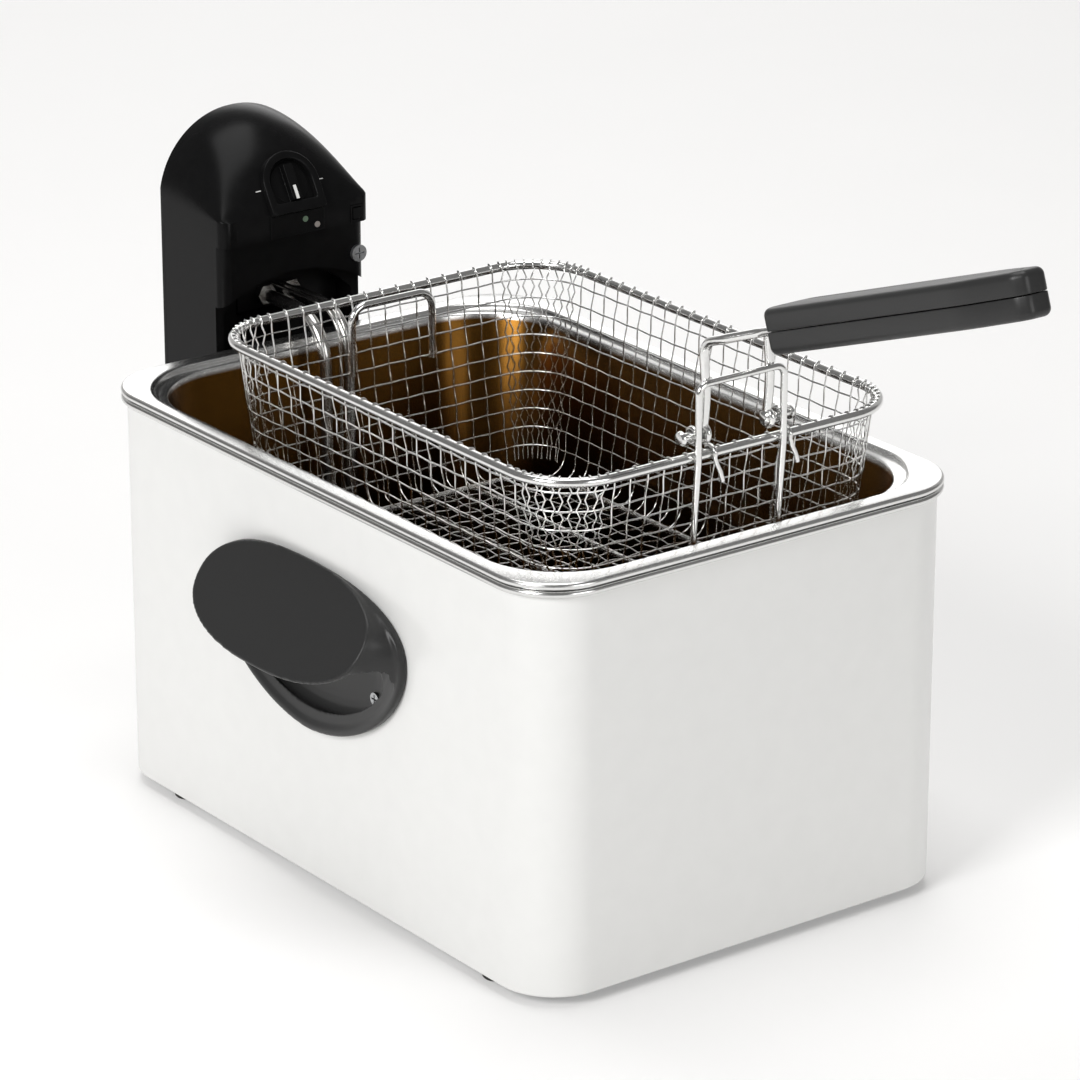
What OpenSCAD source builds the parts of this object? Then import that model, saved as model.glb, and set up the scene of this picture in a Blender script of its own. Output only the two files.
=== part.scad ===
// Countertop deep fryer: lacquered casing, lift-out oil tank, lift-off control
// head with immersion element, and a wire basket with a folding handle.
// Millimetres. +Z is up, the basket handle points to -Y, the control head is at +Y.
// The origin is on the table, under the middle of the casing.

/* [Casing] */
// Width of the casing
body_w = 240; // [236:1:246]
// Length of the casing, front to back
body_l = 350; // [346:1:356]
// Height of the casing wall above its lower edge
wall_h = 191; // [188:1:196]
// Radius of the casing's upright corners
body_r = 29; // [26:1:32]
// Thickness of the lacquered sheet
sheet_t = 0.8; // [0.6:0.1:1]
// Height of the rubber feet below the casing
foot_h = 5; // [4:0.5:7]

/* [Oil tank] */
// Half-width of the tank's mouth
mouth_x = 110; // [109:0.5:111]
// Half-length of the tank's mouth
mouth_y = 164.5; // [164:0.5:165.5]
// Corner radius of the tank's mouth
mouth_r = 43; // [40:1:46]
// Height of the tank floor's underside above the table
tank_floor_z = 26; // [22:1:30]
// Radius of the two rolled rim beads
bead_r = 1.7; // [1.5:0.1:1.8]

/* [Basket] */
// Half-width of the basket's rim wire, to the wire's centre
rim_x = 99.2; // [97:0.2:100]
// Half-length of the basket's rim wire, to the wire's centre
rim_y = 136.2; // [135:0.2:137]
// Middle of the basket behind the middle of the casing (negative is forward)
basket_y = -21.5; // [-22:0.5:-20.5]
// Radius of the rim wire
rim_wire_r = 2.3; // [2:0.1:2.5]
// Height of the rim wire's centre in the draining position
rim_z = 238.5; // [236:0.5:242]
// Depth of the mesh below the rim wire
basket_depth = 100; // [96:1:104]

/* [Basket handle] */
// Height of the handle's pivot
pivot_z = 248.5; // [247:0.5:250]
// Distance from the middle to each handle arm
arm_x = 18; // [17:0.5:19]
// Radius of the handle's wire
arm_r = 2.2; // [2:0.1:2.4]
// Rise of the grip above level, in degrees
grip_tilt = 19.7; // [17:0.1:22]
// Length of the grip
grip_l = 168; // [160:1:172]
// Width of the grip
grip_w = 31; // [29:1:34]

/* [Control head] */
// Half-width of the head's dome cover
head_x = 43.5; // [42.5:0.5:45]
// Front face of the dome cover's lip, measured from the middle of the casing
lip_y = 185.5; // [185:0.5:187]
// Back of the dome cover
head_back_y = 240; // [239:0.5:242]
// Height of the dome's foot above the table
dome_z = 263.5; // [262:0.5:266]
// Height of the dome itself
dome_h = 41.5; // [39:0.5:44]
// Radius of the thermostat knob
knob_r = 10.5; // [10:0.5:11]

/* [Heating element] */
// Radius of the element's tube
tube_r = 3.25; // [3:0.05:3.5]
// Sideways pitch of the element's runs
run_pitch = 32; // [31:0.5:33]
// Height of the element's runs above the table
element_z = 48; // [45:1:52]

/* [Hidden] */
$fn = 48;

eps = 0.01;
gap = 0.3;

// casing
hx = body_w / 2;
hy = body_l / 2;
wall_top = foot_h + wall_h;
flange_in = 3;
plate_t = 1.2;
plate_z = foot_h + sheet_t + 0.1;
foot_x = 109;
foot_y = 127;
foot_r = 6.4;

// rim beads
bead_x = hx + 1.3;
bead_y = hy + 1.3;
bead_corner = body_r + 1.3;
low_bead_z = wall_top + bead_r;
top_bead_z = low_bead_z + 2 * bead_r + gap;
flange_z = top_bead_z + bead_r - 0.2;
flange_t = 0.8;
ridge_x = mouth_x + 5;
ridge_y = mouth_y + 4;
band_z = flange_z - 3.4;

// carry handle, in its own plane: u is towards the front, v is up, w is outward
plate_a = 76;
plate_up = 31;
plate_down = 52;
plate_v = 134;
plate_w = 4.5;
face_a = 66;
face_b = 27.9;
face_v = 142.6;
face_w = 20.9;
face_t = 3.6;
face_lean = 36;
pull_wall = 4;
scoop_a = 58;
scoop_b = 27;
scoop_v = 120;
scoop_in = 5.5;
handle_screw_u = 46;
handle_screw_v = 110;

// head
head_w = head_x - 1;
head_front_y = lip_y + 2.5;
setback_y = 195;
front_arc = 77.2;
front_arc_z = 154.6;
head_floor_z = 122;
head_wall = 2.2;
lip_z = dome_z - 13;
alcove_x = 38;
alcove_y = 208;
alcove_arc = 51;
alcove_arc_z = 180;
dial_y = 191.5;
dial_z = 275.6;
dial_lift = 31;
brow = 65;
bezel_r = 15.8;
bezel_w = 2.6;
apron_t = 0.8;
lamp_r = 1.5;
lamp_places = [[4.4, 258.3], [11.4, 254.3]];
rocker_x = 35.4;
rocker_axle_y = 1.1;
rocker_axle_r = 0.9;
rocker_z = 255.5;
rocker_hw = 3.6;
rocker_hh = 4.3;
screw_boss_z = 234;

// rail behind the casing and the runner on the head
rail_y = hy + 0.05;
rail_t = 1.5;
rail_hw = 26;
rail_z0 = 135;
rail_z1 = 188;
rail_out = 184;
runner_y = 178.8;
runner_hw = 23.6;
neck_hw = 16;
pin_x = 30;
pin_y = 200;
pin_r = 2;

// element
leg_x = 7.2;
leg_y = 152;
outer_x = 2.5 * run_pitch;
run_front_y = -112;
run_back_y = 96;
bend_r = run_pitch / 2;
leg_exit_y = 207;
leg_exit_z = 217;
cap_x = 2.1;
cap_r = 0.8;
cap_exit_z = leg_exit_z + 4.5;
cap_y = 146;
bulb_x = 15.1;
bulb_z = 61;

// basket
mesh_x = rim_x - rim_wire_r - 0.3;
mesh_y = rim_y - rim_wire_r - 0.3;
mesh_r = 28;
mesh_top = rim_z - 1.2;
mesh_floor = rim_z - basket_depth;
mesh_t = 0.6;
mesh_draft = 7;
front_y = basket_y - rim_y;
frame_r = 1.8;
hook_x = 23.5;
hook_r = 1.9;
bracket_x = 24;
bracket_r = 1.6;
bracket_y = front_y - rim_wire_r - bracket_r;
pivot_y = -157.5;
eye_r = 4.6;
eye_w = 3.6;
pivot_pin_r = 2;
stop_z = 273;
grip_y = -192;
grip_z = 303;
grip_half_t = 10.3;
seam = 0.4;
tang_l = 70;
tang_x = 8.5;
elbow_r = 9;
neck_r = 10;
neck_turn = 30;
arm_foot = 3.4;
arm_reach = (pivot_y - grip_y - elbow_r * (1 - sin(grip_tilt))) / cos(grip_tilt);
arm_up = grip_z - pivot_z - arm_foot - elbow_r * cos(grip_tilt) - arm_reach * sin(grip_tilt);
neck_l = (arm_x - tang_x - 2 * neck_r * (1 - cos(neck_turn))) / sin(neck_turn);
stop_r = 5;
lean = 4.5;
toe_r = 12;
toe_l = 3.3;
bend_r0 = 30;
bracket_drop = 30;
toe_z = mesh_floor - frame_r - 0.05;
bracket_run = (stop_z - stop_r - bracket_drop - toe_z - bend_r0 * sin(lean)
    - toe_r * (1 - sin(lean))) / cos(lean);

// ---------- shared shapes ----------

// Rounded rectangle about the origin, from half sizes
module rounded_rect(half_x, half_y, r) {
    square([2 * (half_x - r), 2 * half_y], center = true);
    square([2 * half_x, 2 * (half_y - r)], center = true);
    for (sx = [-1, 1])
        for (sy = [-1, 1])
            translate([sx * (half_x - r), sy * (half_y - r)])
                circle(r);
}

// Flat ring between two rounded rectangles
module rect_ring(z, h, ax, ay, ar, bx, by, br) {
    translate([0, 0, z])
        linear_extrude(h)
            difference() {
                rounded_rect(ax, ay, ar);
                rounded_rect(bx, by, br);
            }
}

// Round wire bent to a closed rounded rectangle
module wire_rect(half_x, half_y, r, wire_r) {
    for (sx = [-1, 1])
        translate([sx * half_x, half_y - r, 0])
            rotate([90, 0, 0])
                cylinder(h = 2 * (half_y - r), r = wire_r);
    for (sy = [-1, 1])
        translate([-half_x + r, sy * half_y, 0])
            rotate([0, 90, 0])
                cylinder(h = 2 * (half_x - r), r = wire_r);
    for (q = [0 : 3])
        translate([(q == 0 || q == 3 ? 1 : -1) * (half_x - r), (q < 2 ? 1 : -1) * (half_y - r), 0])
            rotate([0, 0, 90 * q])
                rotate_extrude(angle = 90)
                    translate([r, 0])
                        circle(wire_r);
}

// Round wire along a path of steps [straight, bend radius, bend angle, roll],
// starting at the origin along +Z and bending towards +X after the roll
module wire_run(steps, wire_r, i = 0) {
    if (i < len(steps)) {
        cylinder(h = steps[i][0], r = wire_r);
        if (steps[i][2] > 0)
            translate([0, 0, steps[i][0]])
                rotate([0, 0, steps[i][3]])
                    translate([steps[i][1], 0, 0]) {
                        rotate([90, 0, 180])
                            rotate_extrude(angle = steps[i][2])
                                translate([steps[i][1], 0])
                                    circle(wire_r);
                        rotate([0, steps[i][2], 0])
                            translate([-steps[i][1], 0, 0])
                                wire_run(steps, wire_r, i + 1);
                    }
    }
}

// Points of an ellipse
function ellipse(a, b, n = 48) = [for (k = [0 : n - 1]) [a * cos(360 * k / n), b * sin(360 * k / n)]];

// One point of an oval; it is an ellipse for power 2 and fuller above that
function oval_point(a, b, power, angle) = let (c = cos(angle), s = sin(angle))
    [a * sign(c) * pow(abs(c), 2 / power), b * sign(s) * pow(abs(s), 2 / power)];

function oval(a, b, power, n = 48) = [for (k = [0 : n - 1]) oval_point(a, b, power, 360 * k / n)];

// Slice of a rounded rectangle for a drafted shell
module slice(z, half_x, half_y, r) {
    translate([0, 0, z])
        linear_extrude(eps)
            rounded_rect(half_x, half_y, r);
}

// Tub with drafted walls and a rounded bottom edge
module tub(z0, z1, half_x, half_y, r, draft, round) {
    hull() {
        slice(z1 - eps, half_x, half_y, r);
        for (a = [0 : 22.5 : 90])
            slice(z0 + round * (1 - cos(90 - a)),
                half_x - draft - round * (1 - sin(90 - a)) * (a > 0 ? 1 : 0),
                half_y - draft - round * (1 - sin(90 - a)) * (a > 0 ? 1 : 0),
                max(r - draft / 2 - round * (1 - sin(90 - a)), 6));
    }
}

// Pan-head screw along +Z, its head's seat at the origin
module screw(shaft_r, shaft_l, head_r, head_h) {
    translate([0, 0, -shaft_l])
        cylinder(h = shaft_l, r = shaft_r);
    difference() {
        cylinder(h = head_h, r = head_r);
        translate([0, 0, head_h - 0.5]) {
            cube([1.3 * head_r, 0.7, 1.2], center = true);
            cube([0.7, 1.3 * head_r, 1.2], center = true);
        }
    }
}

// ---------- casing ----------

// Places the carry handle's own plane on the left wall
module on_left_wall() {
    translate([-hx, 0, 0])
        rotate([90, 0, -90])
            children();
}

module handle_window() {
    on_left_wall()
        translate([0, scoop_v, -3])
            linear_extrude(6)
                polygon(ellipse(scoop_a + 2.2, scoop_b + 2.2));
}

module rail_screw_places() {
    for (z = [150, 174])
        translate([0, hy + 1.9, z])
            rotate([-90, 0, 0])
                children();
}

module outer_casing() {
    color("white")
        difference() {
            translate([0, 0, foot_h])
                linear_extrude(wall_h)
                    rounded_rect(hx, hy, body_r);
            translate([0, 0, foot_h + sheet_t])
                linear_extrude(wall_h)
                    rounded_rect(hx - sheet_t, hy - sheet_t, body_r - sheet_t);
            translate([0, 0, foot_h - 1])
                linear_extrude(wall_h)
                    rounded_rect(hx - flange_in, hy - flange_in, body_r - flange_in);
            handle_window();
            mirror([1, 0, 0])
                handle_window();
            rail_screw_places()
                translate([0, 0, -4])
                    cylinder(h = 4, r = 2.1);
        }
}

module casing_rim() {
    color("silver") {
        translate([0, 0, low_bead_z])
            wire_rect(bead_x, bead_y, bead_corner, bead_r);
        rect_ring(wall_top, 0.8, bead_x, bead_y, bead_corner, hx - 3.5, hy - 3.5, body_r - 3.5);
    }
}

module base_plate() {
    color("gray")
        difference() {
            translate([0, 0, plate_z])
                linear_extrude(plate_t)
                    rounded_rect(hx - 1.2, hy - 1.2, body_r - 1.2);
            foot_places()
                cylinder(h = 20, r = 2.1);
            for (y = [-60 : 12 : 60])
                translate([-25, y - 1.5, plate_z - 1])
                    cube([50, 3, 4]);
        }
}

module foot_places() {
    for (sx = [-1, 1])
        for (sy = [-1, 1])
            translate([sx * foot_x, sy * foot_y, 0])
                children();
}

module rubber_feet() {
    color("#202020")
        foot_places()
            difference() {
                cylinder(h = plate_z, r = foot_r);
                translate([0, 0, -1])
                    cylinder(h = 20, r = 2.1);
                translate([0, 0, -1])
                    cylinder(h = 3.4, r = 3.9);
            }
}

module feet_screws() {
    color("silver")
        foot_places()
            translate([0, 0, 2.4])
                mirror([0, 0, 1])
                    screw(2, 7.5, 3.5, 1.5);
}

// Slab of the pull's outline, which is flatter above its widest line than below it
module pull_slab(inset, w, h) {
    translate([0, plate_v, w])
        linear_extrude(h)
            polygon([for (k = [0 : 47]) k < 24
                ? oval_point(plate_a - inset, plate_up - inset, 2.4, 7.5 * k)
                : oval_point(plate_a - inset, plate_down - inset, 1.8, 7.5 * k)]);
}

// Plane of the pull's face, which comes out further the lower it gets
module on_face() {
    translate([0, face_v, face_w])
        rotate([-face_lean, 0, 0])
            children();
}

// Hooded oval pull, open underneath, with a scoop that sinks into the wall
module pull() {
    difference() {
        union() {
            hull() {
                pull_slab(0, gap / 3, plate_w - 1);
                pull_slab(0.8, gap / 3, plate_w - gap / 3);
            }
            hull() {
                pull_slab(1, 1, 1);
                on_face()
                    translate([0, 0, -2])
                        linear_extrude(2)
                            polygon(oval(face_a, face_b, 2.33));
            }
            translate([0, scoop_v, -scoop_in])
                linear_extrude(scoop_in + 1)
                    polygon(ellipse(scoop_a + 1.8, scoop_b + 1.8));
        }
        hull()
            for (down = [0, -50]) {
                translate([0, down, 0])
                    pull_slab(pull_wall + 0.4, plate_w + 0.1, 0.1);
                on_face()
                    translate([0, down, -face_t - 0.5])
                        linear_extrude(0.5)
                            polygon(oval(face_a - pull_wall, face_b - pull_wall, 2.33));
            }
        hull() {
            translate([0, scoop_v, 0.3])
                linear_extrude(0.1)
                    polygon(ellipse(scoop_a - 0.5, scoop_b - 0.5));
            pull_slab(pull_wall, plate_w + 0.2, 0.1);
        }
        translate([0, scoop_v, 1.8 - scoop_in])
            linear_extrude(scoop_in - 0.8)
                polygon(ellipse(scoop_a, scoop_b));
        for (u = [-1, 1])
            translate([u * handle_screw_u, handle_screw_v, -scoop_in - 1])
                cylinder(h = 6, r = 1.7);
    }
}

module carry_handle_left() {
    color("#3a3a3c")
        on_left_wall()
            pull();
}

module carry_handle_right() {
    mirror([1, 0, 0])
        carry_handle_left();
}

module carry_handle_screws() {
    color("silver")
        for (s = [0, 1])
            mirror([s, 0, 0])
                on_left_wall()
                    for (u = [-1, 1])
                        translate([u * handle_screw_u, handle_screw_v, 1.8 - scoop_in])
                            screw(1.6, 3.2, 3.2, 1.6);
}

// C-shaped rail that holds the control head, with an arm for the interlock pin
module head_rail() {
    color("silver")
        difference() {
            union() {
                translate([-rail_hw, rail_y, rail_z0 - 25])
                    cube([2 * rail_hw, rail_t, rail_z1 - rail_z0 + 25]);
                for (sx = [-1, 1])
                    translate([sx < 0 ? -rail_hw : rail_hw - rail_t, rail_y, rail_z0])
                        cube([rail_t, rail_out - rail_y, rail_z1 - rail_z0]);
                for (sx = [-1, 1])
                    translate([sx < 0 ? -rail_hw : 18, rail_out - rail_t, rail_z0])
                        cube([rail_hw - 18, rail_t, rail_z1 - rail_z0]);
                translate([-rail_hw, rail_y, rail_z0])
                    cube([2 * rail_hw, rail_out - rail_y, rail_t]);
                translate([pin_x - 8, rail_y, rail_z0 - 25])
                    cube([14, pin_y - rail_y + 5, rail_t]);
                translate([pin_x - 8, rail_y, rail_z0 - 25])
                    cube([6, rail_t, 25]);
            }
            rail_screw_places()
                translate([0, 0, -4])
                    cylinder(h = 5, r = 2.1);
            translate([pin_x, pin_y, rail_z0 - 30])
                cylinder(h = 10, r = pin_r);
        }
}

module rail_screws() {
    color("silver")
        rail_screw_places()
            translate([0, 0, -0.3])
                screw(2, 4.5, 3.4, 1.6);
}

// Pin that closes the interlock switch when the head is seated
module interlock_pin() {
    color("silver")
        translate([pin_x, pin_y, rail_z0 - 25])
            cylinder(h = 30, r = pin_r);
}

// ---------- oil tank ----------

module oil_tank() {
    color("#8a8478") {
        translate([0, 0, top_bead_z])
            wire_rect(bead_x, bead_y, bead_corner, bead_r);
        rect_ring(flange_z - flange_t, flange_t, bead_x, bead_y, bead_corner,
            ridge_x, ridge_y, mouth_r - 1);
        rect_ring(band_z, flange_z - band_z, ridge_x + flange_t, ridge_y + flange_t, mouth_r,
            ridge_x, ridge_y, mouth_r - 1);
        rect_ring(band_z, flange_t, ridge_x + flange_t, ridge_y + flange_t, mouth_r,
            mouth_x, mouth_y, mouth_r);
        difference() {
            tub(tank_floor_z, band_z + 0.4, mouth_x + 0.9, mouth_y + 0.9, mouth_r + 0.9, 1.5, 12);
            tub(tank_floor_z + 0.9, band_z + 2, mouth_x, mouth_y, mouth_r, 1.5, 11.5);
        }
    }
}

// ---------- control head ----------

// Plan outline of the head, square at the back and rounded at the front
module head_plan(half_x, front, back, r) {
    translate([0, (front + back) / 2])
        square([2 * (half_x - r), back - front], center = true);
    translate([0, (front + r + back) / 2])
        square([2 * half_x, back - front - r], center = true);
    for (sx = [-1, 1])
        translate([sx * (half_x - r), front + r])
            circle(r);
}

// Arched recess in the front, where the element leaves the head
module alcove_arch(grow) {
    translate([0, alcove_y + grow, 0])
        rotate([90, 0, 0])
            linear_extrude(40)
                intersection() {
                    translate([0, alcove_arc_z])
                        circle(alcove_arc + grow);
                    translate([-alcove_x - grow, 186 - grow])
                        square([2 * (alcove_x + grow), 60]);
                }
}

// Shallow wide arch across the whole front, where the front steps back
module front_arch(grow) {
    translate([0, setback_y + grow, front_arc_z])
        rotate([90, 0, 0])
            cylinder(h = 40, r = front_arc + grow);
}

module head_housing() {
    color("#18181a")
        difference() {
            translate([0, 0, head_floor_z])
                linear_extrude(lip_z - head_floor_z)
                    head_plan(head_w, head_front_y, head_back_y, 6);
            front_arch(0);
            alcove_arch(0);
            difference() {
                translate([0, 0, head_floor_z + head_wall])
                    linear_extrude(lip_z)
                        head_plan(head_w - head_wall, head_front_y + head_wall, head_back_y + 5, 4);
                front_arch(head_wall);
                alcove_arch(head_wall);
            }
            for (sx = [-1, 1])
                translate([sx * leg_x, alcove_y - 1, leg_exit_z])
                    rotate([-90, 0, 0])
                        cylinder(h = 5, r = tube_r + 1.4);
            for (sx = [-1, 1])
                translate([sx * cap_x, alcove_y - 1, cap_exit_z])
                    rotate([-90, 0, 0])
                        cylinder(h = 5, r = cap_r + 0.15);
            translate([pin_x, pin_y, head_floor_z - 1])
                cylinder(h = 5, r = pin_r + 0.8);
            translate([neck_hw - 6, setback_y - 1, 150])
                rotate([-90, 0, 0])
                    cylinder(h = 5, r = 2.1);
            translate([6 - neck_hw, setback_y - 1, 150])
                rotate([-90, 0, 0])
                    cylinder(h = 5, r = 2.1);
            boss_places()
                translate([0, 0, -5])
                    cylinder(h = 7, r = 2.1);
        }
}

// The one fixing screw that shows on the head's front
module boss_places() {
    translate([head_w - 5, head_front_y, screw_boss_z])
        rotate([90, 0, 0])
            children();
}

// Share of the dome's height left at a share a of the way round its brow
function fall(a) = eps + (1 - eps) * (cos(a * brow) - cos(brow)) / (1 - cos(brow));

// Solid dome: an arch across, falling in a curve to a straight front lip
module dome(half_x, back, depth, height, floor_z, r) {
    intersection() {
        hull() {
            for (a = [0 : 0.125 : 1])
                translate([0, back - depth * sin(a * brow) / sin(brow), 0])
                    rotate([90, 0, 0])
                        linear_extrude(eps)
                            polygon([for (k = [0 : 9 : 180])
                                [half_x * cos(k), dome_z + height * fall(a) * sin(k)]]);
            translate([0, 0, floor_z])
                linear_extrude(dome_z - floor_z)
                    head_plan(half_x, back - depth, back, r);
        }
        translate([0, 0, floor_z])
            linear_extrude(height + 40)
                head_plan(half_x, back - depth, back, r);
    }
}

// Places the dial's axis: local Z points out of the dome's front slope
module on_dial() {
    translate([0, dial_y, dial_z])
        rotate([90 - dial_lift, 0, 0])
            children();
}

module bezel_outline(r) {
    circle(r);
    translate([-r, -12])
        square([2 * r, 12]);
}

module head_top_cover() {
    color("#141416")
        difference() {
            dome(head_x, head_back_y, head_back_y - lip_y, dome_h, lip_z + 0.1, 5);
            dome(head_x - head_wall, head_back_y + 1, head_back_y - lip_y - head_wall + 1,
                dome_h - head_wall, lip_z - 1, 3.5);
            on_dial()
                translate([0, 0, -9])
                    linear_extrude(20)
                        bezel_outline(bezel_r + 0.1);
            for (p = lamp_places)
                translate([p[0], lip_y - 1, p[1]])
                    rotate([-90, 0, 0])
                        cylinder(h = 5, r = lamp_r + 0.05);
            translate([rocker_x - rocker_hw - 0.1, lip_y - 1, rocker_z - rocker_hh - 0.1])
                cube([2 * rocker_hw + 0.2, 5, 2 * rocker_hh + 0.2]);
        }
}

module rear_arch(half_x, top_z, floor_z) {
    translate([-half_x, floor_z])
        square([2 * half_x, dome_z - floor_z]);
    intersection() {
        translate([0, dome_z - 2.6])
            circle(top_z);
        translate([-half_x, floor_z])
            square([2 * half_x, 200]);
    }
}

module head_rear_cover() {
    color("#18181a")
        difference() {
            translate([0, head_back_y + 2.6, 0])
                rotate([90, 0, 0])
                    linear_extrude(2.5)
                        rear_arch(head_w, 43.2, head_floor_z);
            translate([0, head_back_y - 1, 141])
                rotate([-90, 0, 0])
                    cylinder(h = 6, r = 6.1);
            translate([24, head_back_y - 1, 165])
                rotate([-90, 0, 0])
                    cylinder(h = 6, r = 4.2);
            for (sx = [-1, 1])
                for (z = [130, 255])
                    translate([sx * 35, head_back_y - 1, z])
                        rotate([-90, 0, 0])
                            cylinder(h = 6, r = 1.8);
            for (z = [190 : 6 : 220])
                translate([-18, head_back_y - 1, z])
                    cube([36, 6, 2]);
        }
}

module head_screws() {
    color("silver") {
        for (sx = [-1, 1])
            for (z = [130, 255])
                translate([sx * 35, head_back_y + 2.6, z])
                    rotate([-90, 0, 0])
                        screw(1.7, 7, 3.2, 1.5);
        boss_places()
            screw(2, 6, 4.3, 1.8);
    }
}

// Arched frame round the dial, with an apron down the lip that holds the two lamps
module dial_bezel() {
    color("#101012")
        difference() {
            union() {
                on_dial()
                    translate([0, 0, -8])
                        linear_extrude(8 + bezel_w)
                            bezel_outline(bezel_r);
                translate([-bezel_r, lip_y - apron_t, lip_z + 0.6])
                    cube([2 * bezel_r, apron_t, dome_z - lip_z]);
            }
            on_dial()
                translate([0, 0, -6])
                    cylinder(h = 20, r1 = knob_r + 0.8, r2 = knob_r + 3.2);
            on_dial()
                translate([0, 0, -9])
                    cylinder(h = 5, r = 4.2);
            for (p = lamp_places)
                translate([p[0], lip_y - 2, p[1]])
                    rotate([-90, 0, 0])
                        cylinder(h = 12, r = lamp_r + 0.05);
        }
}

// Sheet runner that slides down into the rail, with its neck to the housing
module runner_plate() {
    color("silver")
        difference() {
            union() {
                translate([-runner_hw, runner_y, rail_z0 + rail_t + gap])
                    cube([2 * runner_hw, 1.5, 56]);
                translate([-neck_hw, runner_y, rail_z0 + rail_t + 2])
                    cube([2 * neck_hw, setback_y - runner_y, 42]);
            }
            translate([2 - neck_hw, runner_y + 1.5, rail_z0])
                cube([2 * neck_hw - 4, setback_y - runner_y - 3, 60]);
            for (sx = [-1, 1])
                translate([sx * (neck_hw - 6), setback_y - 3, 150])
                    rotate([-90, 0, 0])
                        cylinder(h = 6, r = 2.1);
        }
}

module element_bracket() {
    color("#18181a")
        difference() {
            union() {
                translate([-22, alcove_y - 1.3, leg_exit_z - 9])
                    cube([44, 1.2, 18]);
                translate([-22, alcove_y - 16, leg_exit_z - 9])
                    cube([44, 15, 1.2]);
            }
            for (sx = [-1, 1])
                translate([sx * leg_x, alcove_y - 2, leg_exit_z])
                    rotate([-90, 0, 0])
                        cylinder(h = 3, r = tube_r + 0.05);
            for (sx = [-1, 1])
                translate([sx * cap_x, alcove_y - 2, cap_exit_z])
                    rotate([-90, 0, 0])
                        cylinder(h = 3, r = cap_r + 0.05);
        }
}

// One half of the element: out of the head, over the rim, down and along the tank
module element_half() {
    translate([leg_x, leg_exit_y + 16, leg_exit_z])
        rotate([0, 0, -90])
            rotate([0, 90, 0])
                wire_run([
                    [leg_exit_y + 16 - leg_y - 24, 24, 90, 0],
                    [leg_exit_z - 24 - element_z - 12, 12, 90, 90],
                    [outer_x - leg_x - 12 - bend_r, bend_r, 90, 90],
                    [leg_y - bend_r - run_front_y - bend_r, bend_r, 180, 0],
                    [run_back_y - bend_r - (run_front_y + bend_r), bend_r, 180, 180],
                    [run_back_y - bend_r - (run_front_y + bend_r), bend_r, 90, 180]
                ], tube_r);
}

module heating_element() {
    color("silver") {
        element_half();
        mirror([1, 0, 0])
            element_half();
    }
}

module element_nuts() {
    color("silver")
        for (sx = [-1, 1])
            translate([sx * leg_x, alcove_y - 1.4, leg_exit_z])
                rotate([90, 0, 0])
                    difference() {
                        cylinder(h = 5, r = 5.6, $fn = 6);
                        translate([0, 0, -1])
                            cylinder(h = 7, r = tube_r);
                    }
}

// Strap that ties the element's runs together near the front and the back
module element_stay() {
    color("silver")
        for (y = [-70, 60])
            translate([0, y, element_z - tube_r - 1.4])
                difference() {
                    translate([-outer_x - 5, -5, 0])
                        cube([2 * outer_x + 10, 10, 1.3]);
                    for (x = [-64, 0, 64])
                        translate([x, 0, -1])
                            cylinder(h = 4, r = 2);
                }
}

module thermostat_body() {
    color("#c8c0a8")
        on_dial()
            difference() {
                translate([-15, -15, -35])
                    cube([30, 30, 24]);
                translate([0, 0, -24])
                    cylinder(h = 20, r = 3.06);
            }
}

// Sensing bulb and its capillary, side +1 or -1
module sensor(side, bulb_y, bulb_l) {
    translate([side * cap_x, leg_exit_y + 14, cap_exit_z])
        rotate([0, 0, -90])
            rotate([0, 90, 0])
                wire_run([
                    [leg_exit_y + 14 - cap_y - 19, 19, 90, 0],
                    [cap_exit_z - 19 - bulb_z - 4, 4, 90, 90 * side],
                    [4, 5, 90, 90 * side],
                    [cap_y - bulb_y - 5, 1, 0, 0]
                ], cap_r);
    translate([side * bulb_x, bulb_y + 0.5, bulb_z])
        rotate([90, 0, 0])
            cylinder(h = bulb_l, r = 3);
}

module thermostat_bulb() {
    color("silver")
        sensor(1, 100, 90);
}

module cutout_bulb() {
    color("silver")
        sensor(-1, 100, 70);
}

module bulb_clip() {
    color("silver")
        translate([0, 70, 0])
            difference() {
                translate([-20, -4, element_z + tube_r + 0.1])
                    cube([40, 8, 14]);
                for (sx = [-1, 1])
                    translate([sx * bulb_x, 10, bulb_z])
                        rotate([90, 0, 0])
                            cylinder(h = 20, r = 3);
                translate([-11, -5, element_z + tube_r + 1.2])
                    cube([22, 10, 20]);
                translate([-30, -5, bulb_z])
                    cube([60, 10, 20]);
            }
}

module thermal_cutout() {
    color("#d8d4c8")
        translate([24, head_back_y - 30, 165])
            rotate([-90, 0, 0])
                difference() {
                    cylinder(h = 20, r = 10);
                    translate([0, 0, 11])
                        cylinder(h = 10, r = 2.6);
                }
}

module terminal_block() {
    color("#e8e2d0")
        translate([-28, 215, 160])
            difference() {
                cube([22, 14, 44]);
                for (z = [6 : 8 : 40])
                    translate([11, -1, z])
                        rotate([-90, 0, 0])
                            cylinder(h = 20, r = 2.4);
            }
}

// Insulated leads from the terminal block up to the controls and down to the gland
module internal_wires() {
    color("#8a2a20") {
        translate([-24, 222, 204.1])
            wire_run([[30, 8, 90, 0], [6, 1, 0, 0]], 1.1);
        translate([-14, 222, 204.1])
            cylinder(h = 30, r = 1.1);
        translate([-17, 222, 159.9])
            rotate([180, 0, 0])
                wire_run([[5, 5, 90, 0], [8, 1, 0, 0]], 1.1);
    }
}

module interlock_switch() {
    color("#2a4a7a")
        translate([pin_x - 4, pin_y - 2, rail_z0 + 6.3]) {
            cube([8, 20, 12]);
            translate([2, 0, -1])
                cube([4, 3, 1]);
        }
}

module lamp(p) {
    translate([p[0], lip_y - apron_t - 0.4, p[1]])
        rotate([-90, 0, 0])
            cylinder(h = 6, r = lamp_r);
}

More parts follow.
